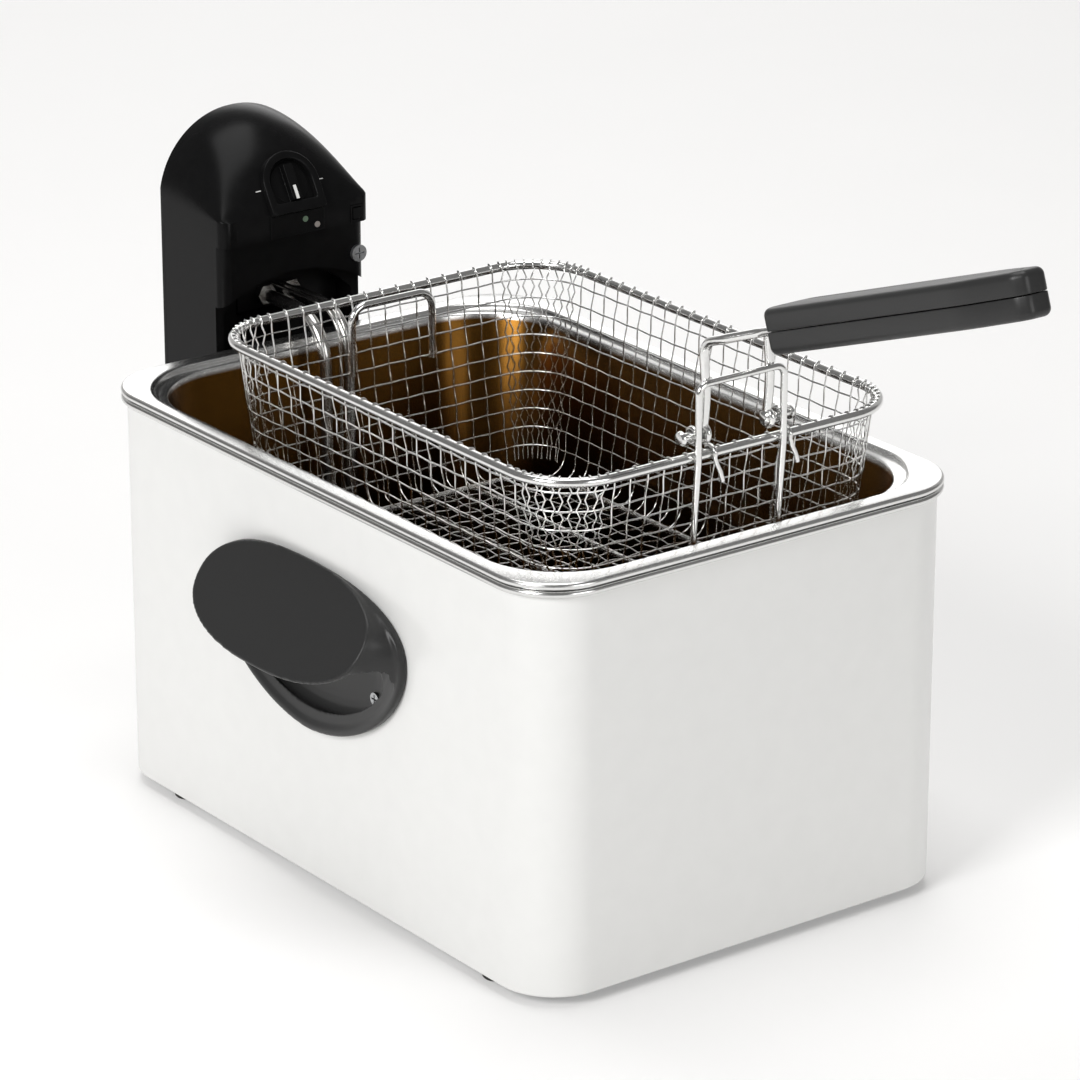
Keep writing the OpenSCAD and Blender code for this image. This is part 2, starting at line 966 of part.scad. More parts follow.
module power_lamp() {
    color("#40c060")
        lamp(lamp_places[0]);
}

module heat_lamp() {
    color("#e04020")
        lamp(lamp_places[1]);
}

module rocker_frame() {
    color("#101012")
        translate([rocker_x, lip_y, rocker_z])
            difference() {
                translate([-rocker_hw, -0.4, -rocker_hh])
                    cube([2 * rocker_hw, 12, 2 * rocker_hh]);
                translate([1 - rocker_hw, -1, 1 - rocker_hh])
                    cube([2 * rocker_hw - 2, 6, 2 * rocker_hh - 2]);
                rocker_axle(rocker_hw - 0.4, rocker_axle_r + 0.05);
            }
}

// Round axle that the rocker tips on, half_l to each side
module rocker_axle(half_l, r) {
    translate([-half_l, rocker_axle_y, 0])
        rotate([0, 90, 0])
            cylinder(h = 2 * half_l, r = r);
}

module rocker_key() {
    color("#303034")
        translate([rocker_x, lip_y, rocker_z])
            difference() {
                union() {
                    translate([1.25 - rocker_hw, -0.9, 1.5 - rocker_hh])
                        cube([2 * rocker_hw - 2.5, 4, 2 * rocker_hh - 3]);
                    rocker_axle(rocker_hw - 0.6, rocker_axle_r);
                }
                translate([-5, -1.9, -5.9])
                    rotate([8, 0, 0])
                        translate([0, -0.8, 0])
                            cube([10, 1.4, 12]);
            }
}

module cord_gland() {
    color("#18181a")
        translate([0, head_back_y - 4, 141])
            rotate([-90, 0, 0])
                difference() {
                    union() {
                        cylinder(h = 12, r = 6);
                        translate([0, 0, 6.7])
                            cylinder(h = 5.3, r = 8.5);
                    }
                    translate([0, 0, -1])
                        cylinder(h = 14, r = 3.6);
                }
}

// ---------- moving controls ----------

module thermostat_knob() {
    color("#0c0c0e")
        on_dial()
            difference() {
                union() {
                    translate([0, 0, -3.6])
                        cylinder(h = 3.6, r = knob_r);
                    translate([-2.6, -knob_r + 1.5, -1])
                        cube([5.2, 2 * knob_r - 3, 4.6]);
                }
                translate([0, 0, -5])
                    cylinder(h = 5, r = 3);
                translate([-0.8, -2 - knob_r, 3])
                    cube([1.6, knob_r, 2]);
            }
}

module knob_pointer() {
    color("white")
        on_dial()
            translate([-0.8, 1.6 - knob_r, 3])
                cube([1.6, knob_r - 3.6, 0.8]);
}

module thermostat_spindle() {
    color("silver")
        on_dial()
            translate([0, 0, -23])
                cylinder(h = 23, r = 3);
}

module reset_button() {
    color("#c02020")
        translate([24, head_back_y - 5.8, 165])
            rotate([-90, 0, 0]) {
                cylinder(h = 9.5, r = 4);
                translate([0, 0, -8.7])
                    cylinder(h = 9, r = 2.4);
            }
}

// ---------- basket ----------

module basket_rim() {
    color("silver")
        translate([0, basket_y, rim_z])
            wire_rect(rim_x, rim_y, 31, rim_wire_r);
}

module basket_mesh() {
    color("silver")
        translate([0, basket_y, 0])
            difference() {
                tub(mesh_floor, mesh_top, mesh_x, mesh_y, mesh_r, mesh_draft, 8);
                tub(mesh_floor + mesh_t, mesh_top + 1, mesh_x - mesh_t, mesh_y - mesh_t,
                    mesh_r - mesh_t, mesh_draft, 7);
            }
}

module basket_bottom_frame() {
    color("silver")
        translate([0, basket_y, mesh_floor - frame_r - 0.05]) {
            wire_rect(80, 116, 24, frame_r);
            for (x = [-40, 0, 40])
                translate([x, 116, 0])
                    rotate([90, 0, 0])
                        cylinder(h = 232, r = frame_r - 0.4);
        }
}

// Hook of bent wire inside the rear wall, its crown over the rim
module rear_hook() {
    color("silver")
        translate([-hook_x, basket_y + mesh_y - mesh_t - hook_r - 4.6, rim_z - 34])
            wire_run([
                [26, 8, 90, 0],
                [2 * hook_x - 16, 8, 90, 0],
                [26, 1, 0, 0]
            ], hook_r);
}

// Half of the bracket wire: the stop bar, the leg down the front and the toe underneath,
// with an eye for the pivot pin
module bracket_side() {
    difference() {
        union() {
            translate([bracket_x - eye_w / 2, pivot_y, pivot_z])
                rotate([0, 90, 0])
                    cylinder(h = eye_w, r = eye_r);
            translate([0, bracket_y, stop_z])
                rotate([0, 90, 0])
                    wire_run([
                        [bracket_x - stop_r, stop_r, 90, 0],
                        [bracket_drop, bend_r0, lean, 90],
                        [bracket_run, toe_r, 90 - lean, 0],
                        [toe_l, 1, 0, 0]
                    ], bracket_r);
        }
        translate([bracket_x - eye_w, pivot_y, pivot_z])
            rotate([0, 90, 0])
                cylinder(h = 2 * eye_w, r = pivot_pin_r + 0.05);
    }
}

module handle_bracket() {
    color("silver") {
        bracket_side();
        mirror([1, 0, 0])
            bracket_side();
    }
}

module pivot_pins() {
    color("silver")
        for (sx = [-1, 1])
            mirror([sx < 0 ? 1 : 0, 0, 0])
                translate([arm_x - eye_w / 2 - 0.2, pivot_y, pivot_z])
                    rotate([0, 90, 0]) {
                        cylinder(h = 15, r = pivot_pin_r);
                        translate([0, 0, -1.2])
                            cylinder(h = 1.2, r = 3.4);
                        translate([0, 0, 14.5])
                            cylinder(h = 1.6, r = 3.2);
                    }
}

// ---------- folding handle ----------

// Places the grip's own frame: X along the grip from its inner end, Z out of its top
module on_grip() {
    translate([0, grip_y, grip_z])
        rotate([0, 0, -90])
            rotate([0, -grip_tilt, 0])
                children();
}

// One handle arm, from the pivot eye up and forward into the grip
module arm() {
    difference() {
        union() {
            translate([arm_x - eye_w / 2, pivot_y, pivot_z])
                rotate([0, 90, 0])
                    cylinder(h = eye_w, r = eye_r);
            translate([arm_x, pivot_y, pivot_z + arm_foot])
                rotate([0, 0, -90])
                    wire_run([
                        [arm_up, elbow_r, 90 - grip_tilt, 0],
                        [4, neck_r, neck_turn, -90],
                        [neck_l, neck_r, neck_turn, 180],
                        [tang_l, 1, 0, 0]
                    ], arm_r);
        }
        translate([arm_x - eye_w, pivot_y, pivot_z])
            rotate([0, 90, 0])
                cylinder(h = 2 * eye_w, r = pivot_pin_r);
    }
}

module handle_frame() {
    color("silver") {
        arm();
        mirror([1, 0, 0])
            arm();
    }
}

// Plan of the grip: bevelled inner end, chamfered outer end
module grip_plan(w) {
    polygon([
        [0, 8 - w / 2], [5, -w / 2], [grip_l - 30, -w / 2], [grip_l - 4, 7 - w / 2], [grip_l, 10 - w / 2],
        [grip_l, w / 2 - 10], [grip_l - 4, w / 2 - 7], [grip_l - 30, w / 2], [5, w / 2], [0, w / 2 - 8]
    ]);
}

// One half shell of the grip, with channels for the tangs and the screws
module grip_half(side) {
    difference() {
        hull() {
            translate([0, 0, side > 0 ? seam / 2 : -seam / 2 - 6])
                linear_extrude(6)
                    grip_plan(grip_w);
            translate([3, 0, side > 0 ? grip_half_t - 1 : -grip_half_t])
                linear_extrude(1)
                    scale([0.97, 0.97])
                        grip_plan(grip_w - 4);
        }
        for (sy = [-1, 1])
            translate([-2, sy * tang_x, 0])
                rotate([0, 90, 0])
                    cylinder(h = tang_l + 6, r = arm_r + 0.4);
        for (x = [40, 130])
            translate([x, 0, -20])
                cylinder(h = 27, r = 1.65);
        for (x = [40, 130])
            translate([x, 0, -grip_half_t - 1])
                cylinder(h = 4, r = 3.2);
    }
}

module grip_upper() {
    color("#3c3c3e")
        on_grip()
            grip_half(1);
}

module grip_lower() {
    color("#3c3c3e")
        on_grip()
            grip_half(-1);
}

module grip_screws() {
    color("silver")
        on_grip()
            for (x = [40, 130])
                translate([x, 0, 3 - grip_half_t])
                    mirror([0, 0, 1])
                        screw(1.6, 13, 3, 1.6);
}

// ---------- assembly ----------
outer_casing();
casing_rim();
base_plate();
rubber_feet();
feet_screws();
carry_handle_left();
carry_handle_right();
carry_handle_screws();
head_rail();
rail_screws();
interlock_pin();
oil_tank();
head_housing();
head_top_cover();
head_rear_cover();
head_screws();
dial_bezel();
runner_plate();
element_bracket();
heating_element();
element_nuts();
element_stay();
thermostat_body();
thermostat_bulb();
thermal_cutout();
cutout_bulb();
bulb_clip();
terminal_block();
internal_wires();
interlock_switch();
power_lamp();
heat_lamp();
rocker_frame();
cord_gland();
thermostat_knob();
knob_pointer();
thermostat_spindle();
rocker_key();
reset_button();
basket_rim();
basket_mesh();
basket_bottom_frame();
rear_hook();
handle_bracket();
pivot_pins();
handle_frame();
grip_upper();
grip_lower();
grip_screws();
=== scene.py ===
"""A deep fryer's looks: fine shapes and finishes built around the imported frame.

Lengths are metres in the frame's own axes: +Z up, -Y to the front, +X to the right.
"""

import logging
import math
from collections.abc import Sequence
from dataclasses import dataclass
from enum import Enum
from functools import cache

import bmesh
import bpy
from mathutils import Matrix, Vector


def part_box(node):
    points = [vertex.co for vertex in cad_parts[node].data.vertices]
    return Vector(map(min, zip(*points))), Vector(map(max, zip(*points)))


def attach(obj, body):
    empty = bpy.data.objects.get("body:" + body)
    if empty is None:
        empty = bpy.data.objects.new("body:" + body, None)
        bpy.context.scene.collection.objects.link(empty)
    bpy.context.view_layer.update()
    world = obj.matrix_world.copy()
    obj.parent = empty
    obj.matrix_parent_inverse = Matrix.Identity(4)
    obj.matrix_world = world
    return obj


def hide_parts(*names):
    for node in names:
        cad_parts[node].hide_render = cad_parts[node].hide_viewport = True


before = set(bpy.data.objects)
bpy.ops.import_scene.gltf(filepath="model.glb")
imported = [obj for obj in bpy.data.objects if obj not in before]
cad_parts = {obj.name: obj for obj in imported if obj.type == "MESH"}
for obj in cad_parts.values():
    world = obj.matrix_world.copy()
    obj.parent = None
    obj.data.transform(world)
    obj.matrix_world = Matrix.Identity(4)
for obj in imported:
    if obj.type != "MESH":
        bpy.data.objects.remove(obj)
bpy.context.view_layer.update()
log = logging.getLogger("fryer")

MM = 0.001
PIVOT_Y = -157.5 * MM
PIVOT_Z = 248.5 * MM
DIAL_SLOPE = math.radians(31)
CORNER_STEPS = 12
TOE_STEPS = 6


class Body(Enum):
    """The bodies that move apart from each other."""

    CASING = "casing"
    TANK = "tank"
    HEAD = "head"
    KNOB = "knob"
    ROCKER = "rocker"
    RESET = "reset"
    BASKET = "basket"
    HANDLE = "handle"


# ---------- finishes ----------


@dataclass(frozen=True)
class Finish:
    """A procedural surface: noise mixes two near colours, varies the gloss and adds relief.

    Attributes:
        slot: the record's material slot.
        colour: linear base colour.
        mottle: how much darker the second colour is, from 0 to 1.
        metallic: 1 on bare metal.
        roughness: mean roughness.
        spread: how far the roughness strays to either side.
        grain: noise cells per metre.
        stretch: scale of the noise along X, Y and Z, which draws it out into brush lines.
        relief: height of the surface's fine relief.
        coat: strength of a clear coat.
        shine: strength of the surface's own reflections, 0.5 on common plastics.
        passes: share of light that goes through, for lenses.
    """

    slot: str
    colour: tuple[float, float, float]
    mottle: float = 0.08
    metallic: float = 0.0
    roughness: float = 0.4
    spread: float = 0.06
    grain: float = 600.0
    stretch: tuple[float, float, float] = (1.0, 1.0, 1.0)
    relief: float = 0.02 * MM
    coat: float = 0.0
    shine: float = 0.5
    passes: float = 0.0

    def noise(self, material: bpy.types.Material) -> bpy.types.Node:
        """Adds the noise that drives the surface.

        Args:
            material: the material whose nodes are being made.

        Returns:
            The noise node.
        """
        nodes, links = material.node_tree.nodes, material.node_tree.links
        place = nodes.new("ShaderNodeTexCoord")
        scale = nodes.new("ShaderNodeMapping")
        scale.inputs["Scale"].default_value = self.stretch
        noise = nodes.new("ShaderNodeTexNoise")
        noise.inputs["Scale"].default_value = self.grain
        noise.inputs["Detail"].default_value = 4.0
        links.new(place.outputs["Object"], scale.inputs["Vector"])
        links.new(scale.outputs["Vector"], noise.inputs["Vector"])
        return noise

    def tint(self, material: bpy.types.Material, noise: bpy.types.Node) -> bpy.types.NodeSocket:
        """Mixes the two near colours by the noise.

        Args:
            material: the material whose nodes are being made.
            noise: the noise node that drives the surface.

        Returns:
            The socket that carries the colour.
        """
        nodes, links = material.node_tree.nodes, material.node_tree.links
        ramp = nodes.new("ShaderNodeValToRGB")
        low, high = ramp.color_ramp.elements
        low.position, high.position = 0.3, 0.7
        low.color = (*(c * (1.0 - self.mottle) for c in self.colour), 1.0)
        high.color = (*self.colour, 1.0)
        links.new(noise.outputs["Fac"], ramp.inputs["Fac"])
        return ramp.outputs["Color"]

    def build(self) -> bpy.types.Material:
        """Makes the material.

        Returns:
            The finished material.
        """
        material = bpy.data.materials.new(self.slot)
        material.use_nodes = True
        nodes, links = material.node_tree.nodes, material.node_tree.links
        surface = nodes["Principled BSDF"]
        surface.inputs["Metallic"].default_value = self.metallic
        surface.inputs["Specular IOR Level"].default_value = self.shine
        surface.inputs["Coat Weight"].default_value = self.coat
        surface.inputs["Coat Roughness"].default_value = 0.08
        surface.inputs["Transmission Weight"].default_value = self.passes
        noise = self.noise(material)
        links.new(self.tint(material, noise), surface.inputs["Base Color"])
        gloss = nodes.new("ShaderNodeMapRange")
        gloss.inputs["To Min"].default_value = max(0.02, self.roughness - self.spread)
        gloss.inputs["To Max"].default_value = self.roughness + self.spread
        links.new(noise.outputs["Fac"], gloss.inputs["Value"])
        links.new(gloss.outputs["Result"], surface.inputs["Roughness"])
        bump = nodes.new("ShaderNodeBump")
        bump.inputs["Distance"].default_value = self.relief
        links.new(noise.outputs["Fac"], bump.inputs["Height"])
        links.new(bump.outputs["Normal"], surface.inputs["Normal"])
        return material


@dataclass(frozen=True)
class ShadePaintedSteel(Finish):
    """Steel with a painted amber reflection of oil and fries, deeper and darker further down the tank as
    painted shade.

    Attributes:
        bare_z: height above which the steel stays bright.
        dark_z: height below which the painted shade is at its darkest.
        amber: linear colour of the painted reflection just below the mouth.
        brown: linear colour of the painted shade near the floor.
    """

    bare_z: float = 0.1988
    dark_z: float = 0.095
    amber: tuple[float, float, float] = (0.105, 0.047, 0.008)
    brown: tuple[float, float, float] = (0.030, 0.012, 0.003)

    def tint(self, material: bpy.types.Material, noise: bpy.types.Node) -> bpy.types.NodeSocket:
        """Fades from bright steel to the painted amber reflection and the brown painted shade with depth.

        Args:
            material: the material whose nodes are being made.
            noise: the noise node that drives the surface.

        Returns:
            The socket that carries the colour.
        """
        nodes, links = material.node_tree.nodes, material.node_tree.links
        bare_socket = super().tint(material, noise)
        place = nodes.new("ShaderNodeTexCoord")
        split = nodes.new("ShaderNodeSeparateXYZ")
        depth = nodes.new("ShaderNodeMapRange")
        depth.inputs["From Min"].default_value = self.bare_z
        depth.inputs["From Max"].default_value = self.dark_z
        # painted reflection and shade: amber just below the mouth, darkening to brown towards the floor
        painted_shade = nodes.new("ShaderNodeValToRGB")
        near, far = painted_shade.color_ramp.elements
        near.color, far.color = (*self.amber, 1.0), (*self.brown, 1.0)
        edge = nodes.new("ShaderNodeMapRange")
        edge.inputs["From Min"].default_value = self.bare_z + 0.4 * MM
        edge.inputs["From Max"].default_value = self.bare_z - 2.0 * MM
        mix = nodes.new("ShaderNodeMix")
        mix.data_type = "RGBA"
        links.new(place.outputs["Object"], split.inputs["Vector"])
        links.new(split.outputs["Z"], depth.inputs["Value"])
        links.new(split.outputs["Z"], edge.inputs["Value"])
        links.new(depth.outputs["Result"], painted_shade.inputs["Fac"])
        links.new(edge.outputs["Result"], mix.inputs["Factor"])
        links.new(bare_socket, mix.inputs["A"])
        links.new(painted_shade.outputs["Color"], mix.inputs["B"])
        return mix.outputs["Result"]


class Finishes(Enum):
    """Every finish on the fryer."""

    LACQUER = Finish("white_lacquer", (0.80, 0.80, 0.785), 0.02, 0.0, 0.34, 0.04, 90.0,
                     relief=0.01 * MM, coat=0.25)
    BRIGHT_STEEL = Finish("polished_steel", (0.74, 0.74, 0.73), 0.06, 1.0, 0.20, 0.05, 500.0,
                          (1.0, 1.0, 6.0), 0.003 * MM)
    # the tank's amber and brown are painted reflection and painted shade, darker with depth
    TANK_STEEL = ShadePaintedSteel("tank_steel", (0.76, 0.76, 0.75), 0.05, 1.0, 0.24, 0.06, 420.0,
                                (1.0, 1.0, 5.0), 0.003 * MM)
    ZINC = Finish("zinc_steel", (0.52, 0.53, 0.54), 0.25, 1.0, 0.42, 0.10, 260.0, relief=0.01 * MM)
    PLATED_WIRE = Finish("chromed_wire", (0.80, 0.80, 0.79), 0.06, 1.0, 0.16, 0.05, 700.0,
                         relief=0.004 * MM)
    SPINDLE = Finish("spindle_steel", (0.60, 0.60, 0.60), 0.08, 1.0, 0.25, 0.05, 900.0, (1.0, 1.0, 8.0),
                     0.004 * MM)
    ELEMENT = Finish("element_steel", (0.60, 0.59, 0.57), 0.16, 1.0, 0.22, 0.06, 300.0, relief=0.008 * MM)
    RUBBER = Finish("black_rubber", (0.022, 0.022, 0.022), 0.25, 0.0, 0.75, 0.1, 1500.0, relief=0.03 * MM)
    GREY_PLASTIC = Finish("grey_plastic", (0.027, 0.027, 0.027), 0.12, 0.0, 0.34, 0.04, 2200.0,
                          relief=0.02 * MM, shine=0.30)
    GLOSS_BLACK = Finish("gloss_black", (0.006, 0.006, 0.0062), 0.2, 0.0, 0.25, 0.03, 160.0,
                         relief=0.012 * MM, shine=0.08)
    CERAMIC = Finish("ceramic_cream", (0.72, 0.66, 0.52), 0.1, 0.0, 0.5, 0.08, 900.0, relief=0.03 * MM)
    SILICONE = Finish("red_silicone", (0.38, 0.03, 0.02), 0.15, 0.0, 0.5, 0.06, 900.0)
    BLUE_PLASTIC = Finish("blue_plastic", (0.02, 0.06, 0.22), 0.12, 0.0, 0.42, 0.06, 1200.0)
    RED_PLASTIC = Finish("red_plastic", (0.45, 0.02, 0.015), 0.12, 0.0, 0.4, 0.06, 1200.0)
    GREEN_LENS = Finish("green_lens", (0.20, 0.30, 0.20), 0.1, 0.0, 0.12, 0.03, 900.0, passes=0.3)
    RED_LENS = Finish("red_lens", (0.55, 0.50, 0.46), 0.1, 0.0, 0.12, 0.03, 900.0, passes=0.3)
    WHITE_MARK = Finish("white_mark", (0.78, 0.78, 0.76), 0.05, 0.0, 0.45, 0.05, 1500.0)


@cache
def material_of(finish: Finishes) -> bpy.types.Material:
    """Returns the one material of a finish, made the first time it is asked for."""
    return finish.value.build()


def dress(obj: bpy.types.Object, finish: Finishes, body: Body, *nodes: str) -> bpy.types.Object:
    """Gives a built piece its finish and its body, and hides the frame nodes that it stands for.

    Args:
        obj: the piece.
        finish: its finish.
        body: the body that it moves with.
        nodes: frame nodes that it replaces.

    Returns:
        The same piece.
    """
    obj.data.materials.clear()
    obj.data.materials.append(material_of(finish))
    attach(obj, body.value)
    if nodes:
        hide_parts(*nodes)
    return obj


def paint(finish: Finishes, *nodes: str) -> None:
    """Gives frame nodes that keep their shape a finish.

    Args:
        finish: the finish.
        nodes: names of the frame nodes.
    """
    for node in nodes:
        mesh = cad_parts[node].data
        mesh.materials.clear()
        mesh.materials.append(material_of(finish))


# ---------- shapes ----------


def arc(start: float, stop: float, steps: int) -> list[float]:
    """Returns angles in radians, evenly spaced from start to stop, which are in degrees."""
    return [math.radians(start + (stop - start) * k / steps) for k in range(steps + 1)]


def rounded_ring(half_x: float, half_y: float, radius: float, z: float) -> list[Vector]:
    """Makes the level outline of a rounded rectangle about the Z axis.

    Args:
        half_x: half the size along X.
        half_y: half the size along Y.
        radius: corner radius.
        z: height.

    Returns:
        Its points, anticlockwise from the middle of the right side's far end.
    """
    points = []
    for corner, (sx, sy) in enumerate(((1, 1), (-1, 1), (-1, -1), (1, -1))):
        for angle in arc(90 * corner, 90 * corner + 90, CORNER_STEPS):
            x = sx * (half_x - radius) + radius * math.cos(angle)
            y = sy * (half_y - radius) + radius * math.sin(angle)
            points.append(Vector((x, y, z)))
    return points


def ellipse_ring(half_y: float, half_z: float, z: float, x: float, steps: int = 96) -> list[Vector]:
    """Makes an ellipse that faces along X.

    Args:
        half_y: half the size along Y.
        half_z: half the size along Z.
        z: height of the centre.
        x: place along X.
        steps: number of points.

    Returns:
        Its points.
    """
    turns = [2 * math.pi * k / steps for k in range(steps)]
    return [Vector((x, half_y * math.cos(t), z + half_z * math.sin(t))) for t in turns]


def bent_path(start: Vector, heading: Vector, side: Vector,
              steps: Sequence[tuple[float, float, float, float]]) -> list[Vector]:
    """Follows a wire through straight runs and bends.

    Args:
        start: where the wire starts.
        heading: unit vector along the first run.
        side: unit vector that the first bend turns towards.
        steps: for each bend the run before it, its radius, its angle and the roll before it,
            both in degrees.

    Returns:
        The points of the wire's centre line.
    """
    point, path = start.copy(), [start.copy()]
    for run, radius, angle, roll in steps:
        turn = math.radians(roll)
        side = side * math.cos(turn) + heading.cross(side) * math.sin(turn)
        point = point + heading * run
        path.append(point.copy())
        if angle:
            centre = point + side * radius
            pieces = max(3, round(angle / 7.5))
            for a in arc(0, angle, pieces)[1:]:
                path.append(centre - side * (radius * math.cos(a)) + heading * (radius * math.sin(a)))
            a = math.radians(angle)
            heading, side = (heading * math.cos(a) + side * math.sin(a),
                             side * math.cos(a) - heading * math.sin(a))
            point = path[-1].copy()
    return path


def pivot_eye(x: float, radius: float) -> list[Vector]:
    """Returns the points of a wire eye round the axis that the basket's handle folds about.

    Args:
        x: the eye's place along X.
        radius: radius of the wire's middle line.

    Returns:
        The eye's points, for a closed tube.
    """
    return [
        Vector((x, PIVOT_Y + radius * math.cos(a), PIVOT_Z + radius * math.sin(a)))
        for a in arc(0, 345, 23)
    ]


def mirrored(points: Sequence[Vector], side: int) -> list[Vector]:
    """Returns the points as they are for side 1, or mirrored across the plane X = 0 for side -1."""
    return [Vector((side * p.x, p.y, p.z)) for p in points]


class Shape:
    """Points and faces that grow piece by piece and then become one mesh object."""

    def __init__(self) -> None:
        """Starts an empty shape."""
        self.points: list[Vector] = []
        self.faces: list[tuple[int, ...]] = []

    def rings(self, rings: Sequence[Sequence[Vector]], loop: bool = False) -> "Shape":
        """Skins a row of rings that have the same number of points.

        Args:
            rings: the rings in order.
            loop: whether the last ring joins the first; if not, both ends are closed.

        Returns:
            The shape itself.
        """
        base, count = len(self.points), len(rings[0])
        for ring in rings:
            self.points.extend(ring)
        for i in range(len(rings) if loop else len(rings) - 1):
            a = base + i * count
            b = base + (i + 1) % len(rings) * count
            for k in range(count):
                n = (k + 1) % count
                self.faces.append((a + k, a + n, b + n, b + k))
        if not loop:
            self.faces.append(tuple(range(base + count - 1, base - 1, -1)))
            self.faces.append(tuple(range(len(self.points) - count, len(self.points))))
        return self

    def tube(self, path: Sequence[Vector], radius: float, sides: int = 12, closed: bool = False) -> "Shape":
        """Sweeps a round wire along a path.

        Args:
            path: points of the centre line.
            radius: radius of the wire.
            sides: number of sides of its cross-section.
            closed: whether the path's end joins its start.

        Returns:
            The shape itself.
        """
        count = len(path)
        rings, normal = [], None
        for i, point in enumerate(path):
            before = path[i - 1] if i or closed else point
            after = path[(i + 1) % count] if i < count - 1 or closed else point
            along = (after - before).normalized()
            if normal is None:
                normal = along.orthogonal()
            normal = (normal - along * normal.dot(along)).normalized()
            across = along.cross(normal)
            turns = [2 * math.pi * k / sides for k in range(sides)]
            rings.append([point + (normal * math.cos(t) + across * math.sin(t)) * radius for t in turns])
        return self.rings(rings, loop=closed)

    def lathe(self, profile: Sequence[tuple[float, float]], foot: Vector, axis: Vector,
              sides: int = 40) -> "Shape":
        """Turns a profile round an axis.

        Args:
            profile: pairs of radius and distance along the axis.
            foot: the point where that distance is zero.
            axis: unit vector along the axis.
            sides: number of sides.

        Returns:
            The shape itself.
        """
        normal = axis.orthogonal().normalized()
        across = axis.cross(normal)
        turns = [2 * math.pi * k / sides for k in range(sides)]
        around = [normal * math.cos(t) + across * math.sin(t) for t in turns]
        return self.rings([[foot + axis * far + way * radius for way in around] for radius, far in profile])

    def build(self, name: str, sharp: float = 40.0) -> bpy.types.Object:
        """Makes the mesh object.

        Args:
            name: its name.
            sharp: angle in degrees above which an edge stays crisp.

        Returns:
            The object.
        """
        mesh = bpy.data.meshes.new(name)
        mesh.from_pydata(self.points, [], self.faces)
        obj = bpy.data.objects.new(name, mesh)
        bpy.context.scene.collection.objects.link(obj)
        tidy_mesh(obj, sharp)
        return obj


def tidy_mesh(obj: bpy.types.Object, sharp: float = 40.0, merge: float = 0.002 * MM) -> None:
    """Merges doubled points, turns every face outwards and shades the mesh smooth.

    Args:
        obj: the object.
        sharp: angle in degrees above which an edge stays crisp.
        merge: distance below which points are merged.
    """
    work = bmesh.new()
    work.from_mesh(obj.data)
    bmesh.ops.remove_doubles(work, verts=work.verts, dist=merge)
    bmesh.ops.recalc_face_normals(work, faces=work.faces)
    work.to_mesh(obj.data)
    work.free()
    obj.data.shade_smooth()
    obj.data.set_sharp_from_angle(angle=math.radians(sharp))


def bake(obj: bpy.types.Object) -> bpy.types.Object:
    """Turns an object's modifiers into its mesh and returns the object."""
    view = bpy.context.evaluated_depsgraph_get()
    mesh = bpy.data.meshes.new_from_object(obj.evaluated_get(view))
    obj.modifiers.clear()
    obj.data = mesh
    return obj


def combine(obj: bpy.types.Object, other: bpy.types.Object, how: str) -> bpy.types.Object:
    """Joins a second solid to an object, or cuts it away, and removes that second solid.

    Args:
        obj: the object that stays.
        other: the second solid.
        how: UNION or DIFFERENCE.

    Returns:
        The object.
    """
    step = obj.modifiers.new(how, "BOOLEAN")
    step.operation, step.object, step.solver = how, other, "EXACT"
    bake(obj)
    bpy.data.objects.remove(other)
    tidy_mesh(obj)
    return obj


def soften(obj: bpy.types.Object, width: float, angle: float = 35.0) -> bpy.types.Object:
    """Rounds an object's crisp edges.

    Args:
        obj: the object.
        width: size of the rounding.
        angle: edges that turn by more than this many degrees are rounded.

    Returns:
        The object.
    """
    step = obj.modifiers.new("edges", "BEVEL")
    step.width, step.segments = width, 3
    step.limit_method, step.angle_limit = "ANGLE", math.radians(angle)
    step.use_clamp_overlap = True
    bake(obj)
    obj.data.shade_smooth()
    obj.modifiers.new("shading", "WEIGHTED_NORMAL").keep_sharp = True
    return bake(obj)


def moulded(obj: bpy.types.Object, voxel: float, passes: int) -> bpy.types.Object:
    """Remeshes a solid finely and relaxes it, so that every edge gets a moulded fillet.

    Args:
        obj: the object.
        voxel: size of the new mesh's cells.
        passes: rounds of smoothing.

    Returns:
        The object.
    """
    remesh = obj.modifiers.new("cells", "REMESH")
    remesh.mode, remesh.voxel_size = "VOXEL", voxel
    relax = obj.modifiers.new("relax", "SMOOTH")
    relax.factor, relax.iterations = 0.5, passes
    bake(obj)
    obj.data.shade_smooth()
    return obj


def rounded_copy(node: str, name: str, width: float) -> bpy.types.Object:
    """Copies a frame node's solid as a piece of its own and rounds its crisp edges.

    Args:
        node: the frame node.
        name: name of the new piece.
        width: size of the rounding.

    Returns:
        The new piece.
    """
    obj = bpy.data.objects.new(name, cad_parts[node].data.copy())
    bpy.context.scene.collection.objects.link(obj)
    work = bmesh.new()
    work.from_mesh(obj.data)
    bmesh.ops.remove_doubles(work, verts=work.verts, dist=0.005 * MM)
    bmesh.ops.dissolve_limit(work, angle_limit=math.radians(0.5), verts=work.verts, edges=work.edges)
    bmesh.ops.recalc_face_normals(work, faces=work.faces)
    work.to_mesh(obj.data)
    work.free()
    return soften(obj, width)


# ---------- casing ----------


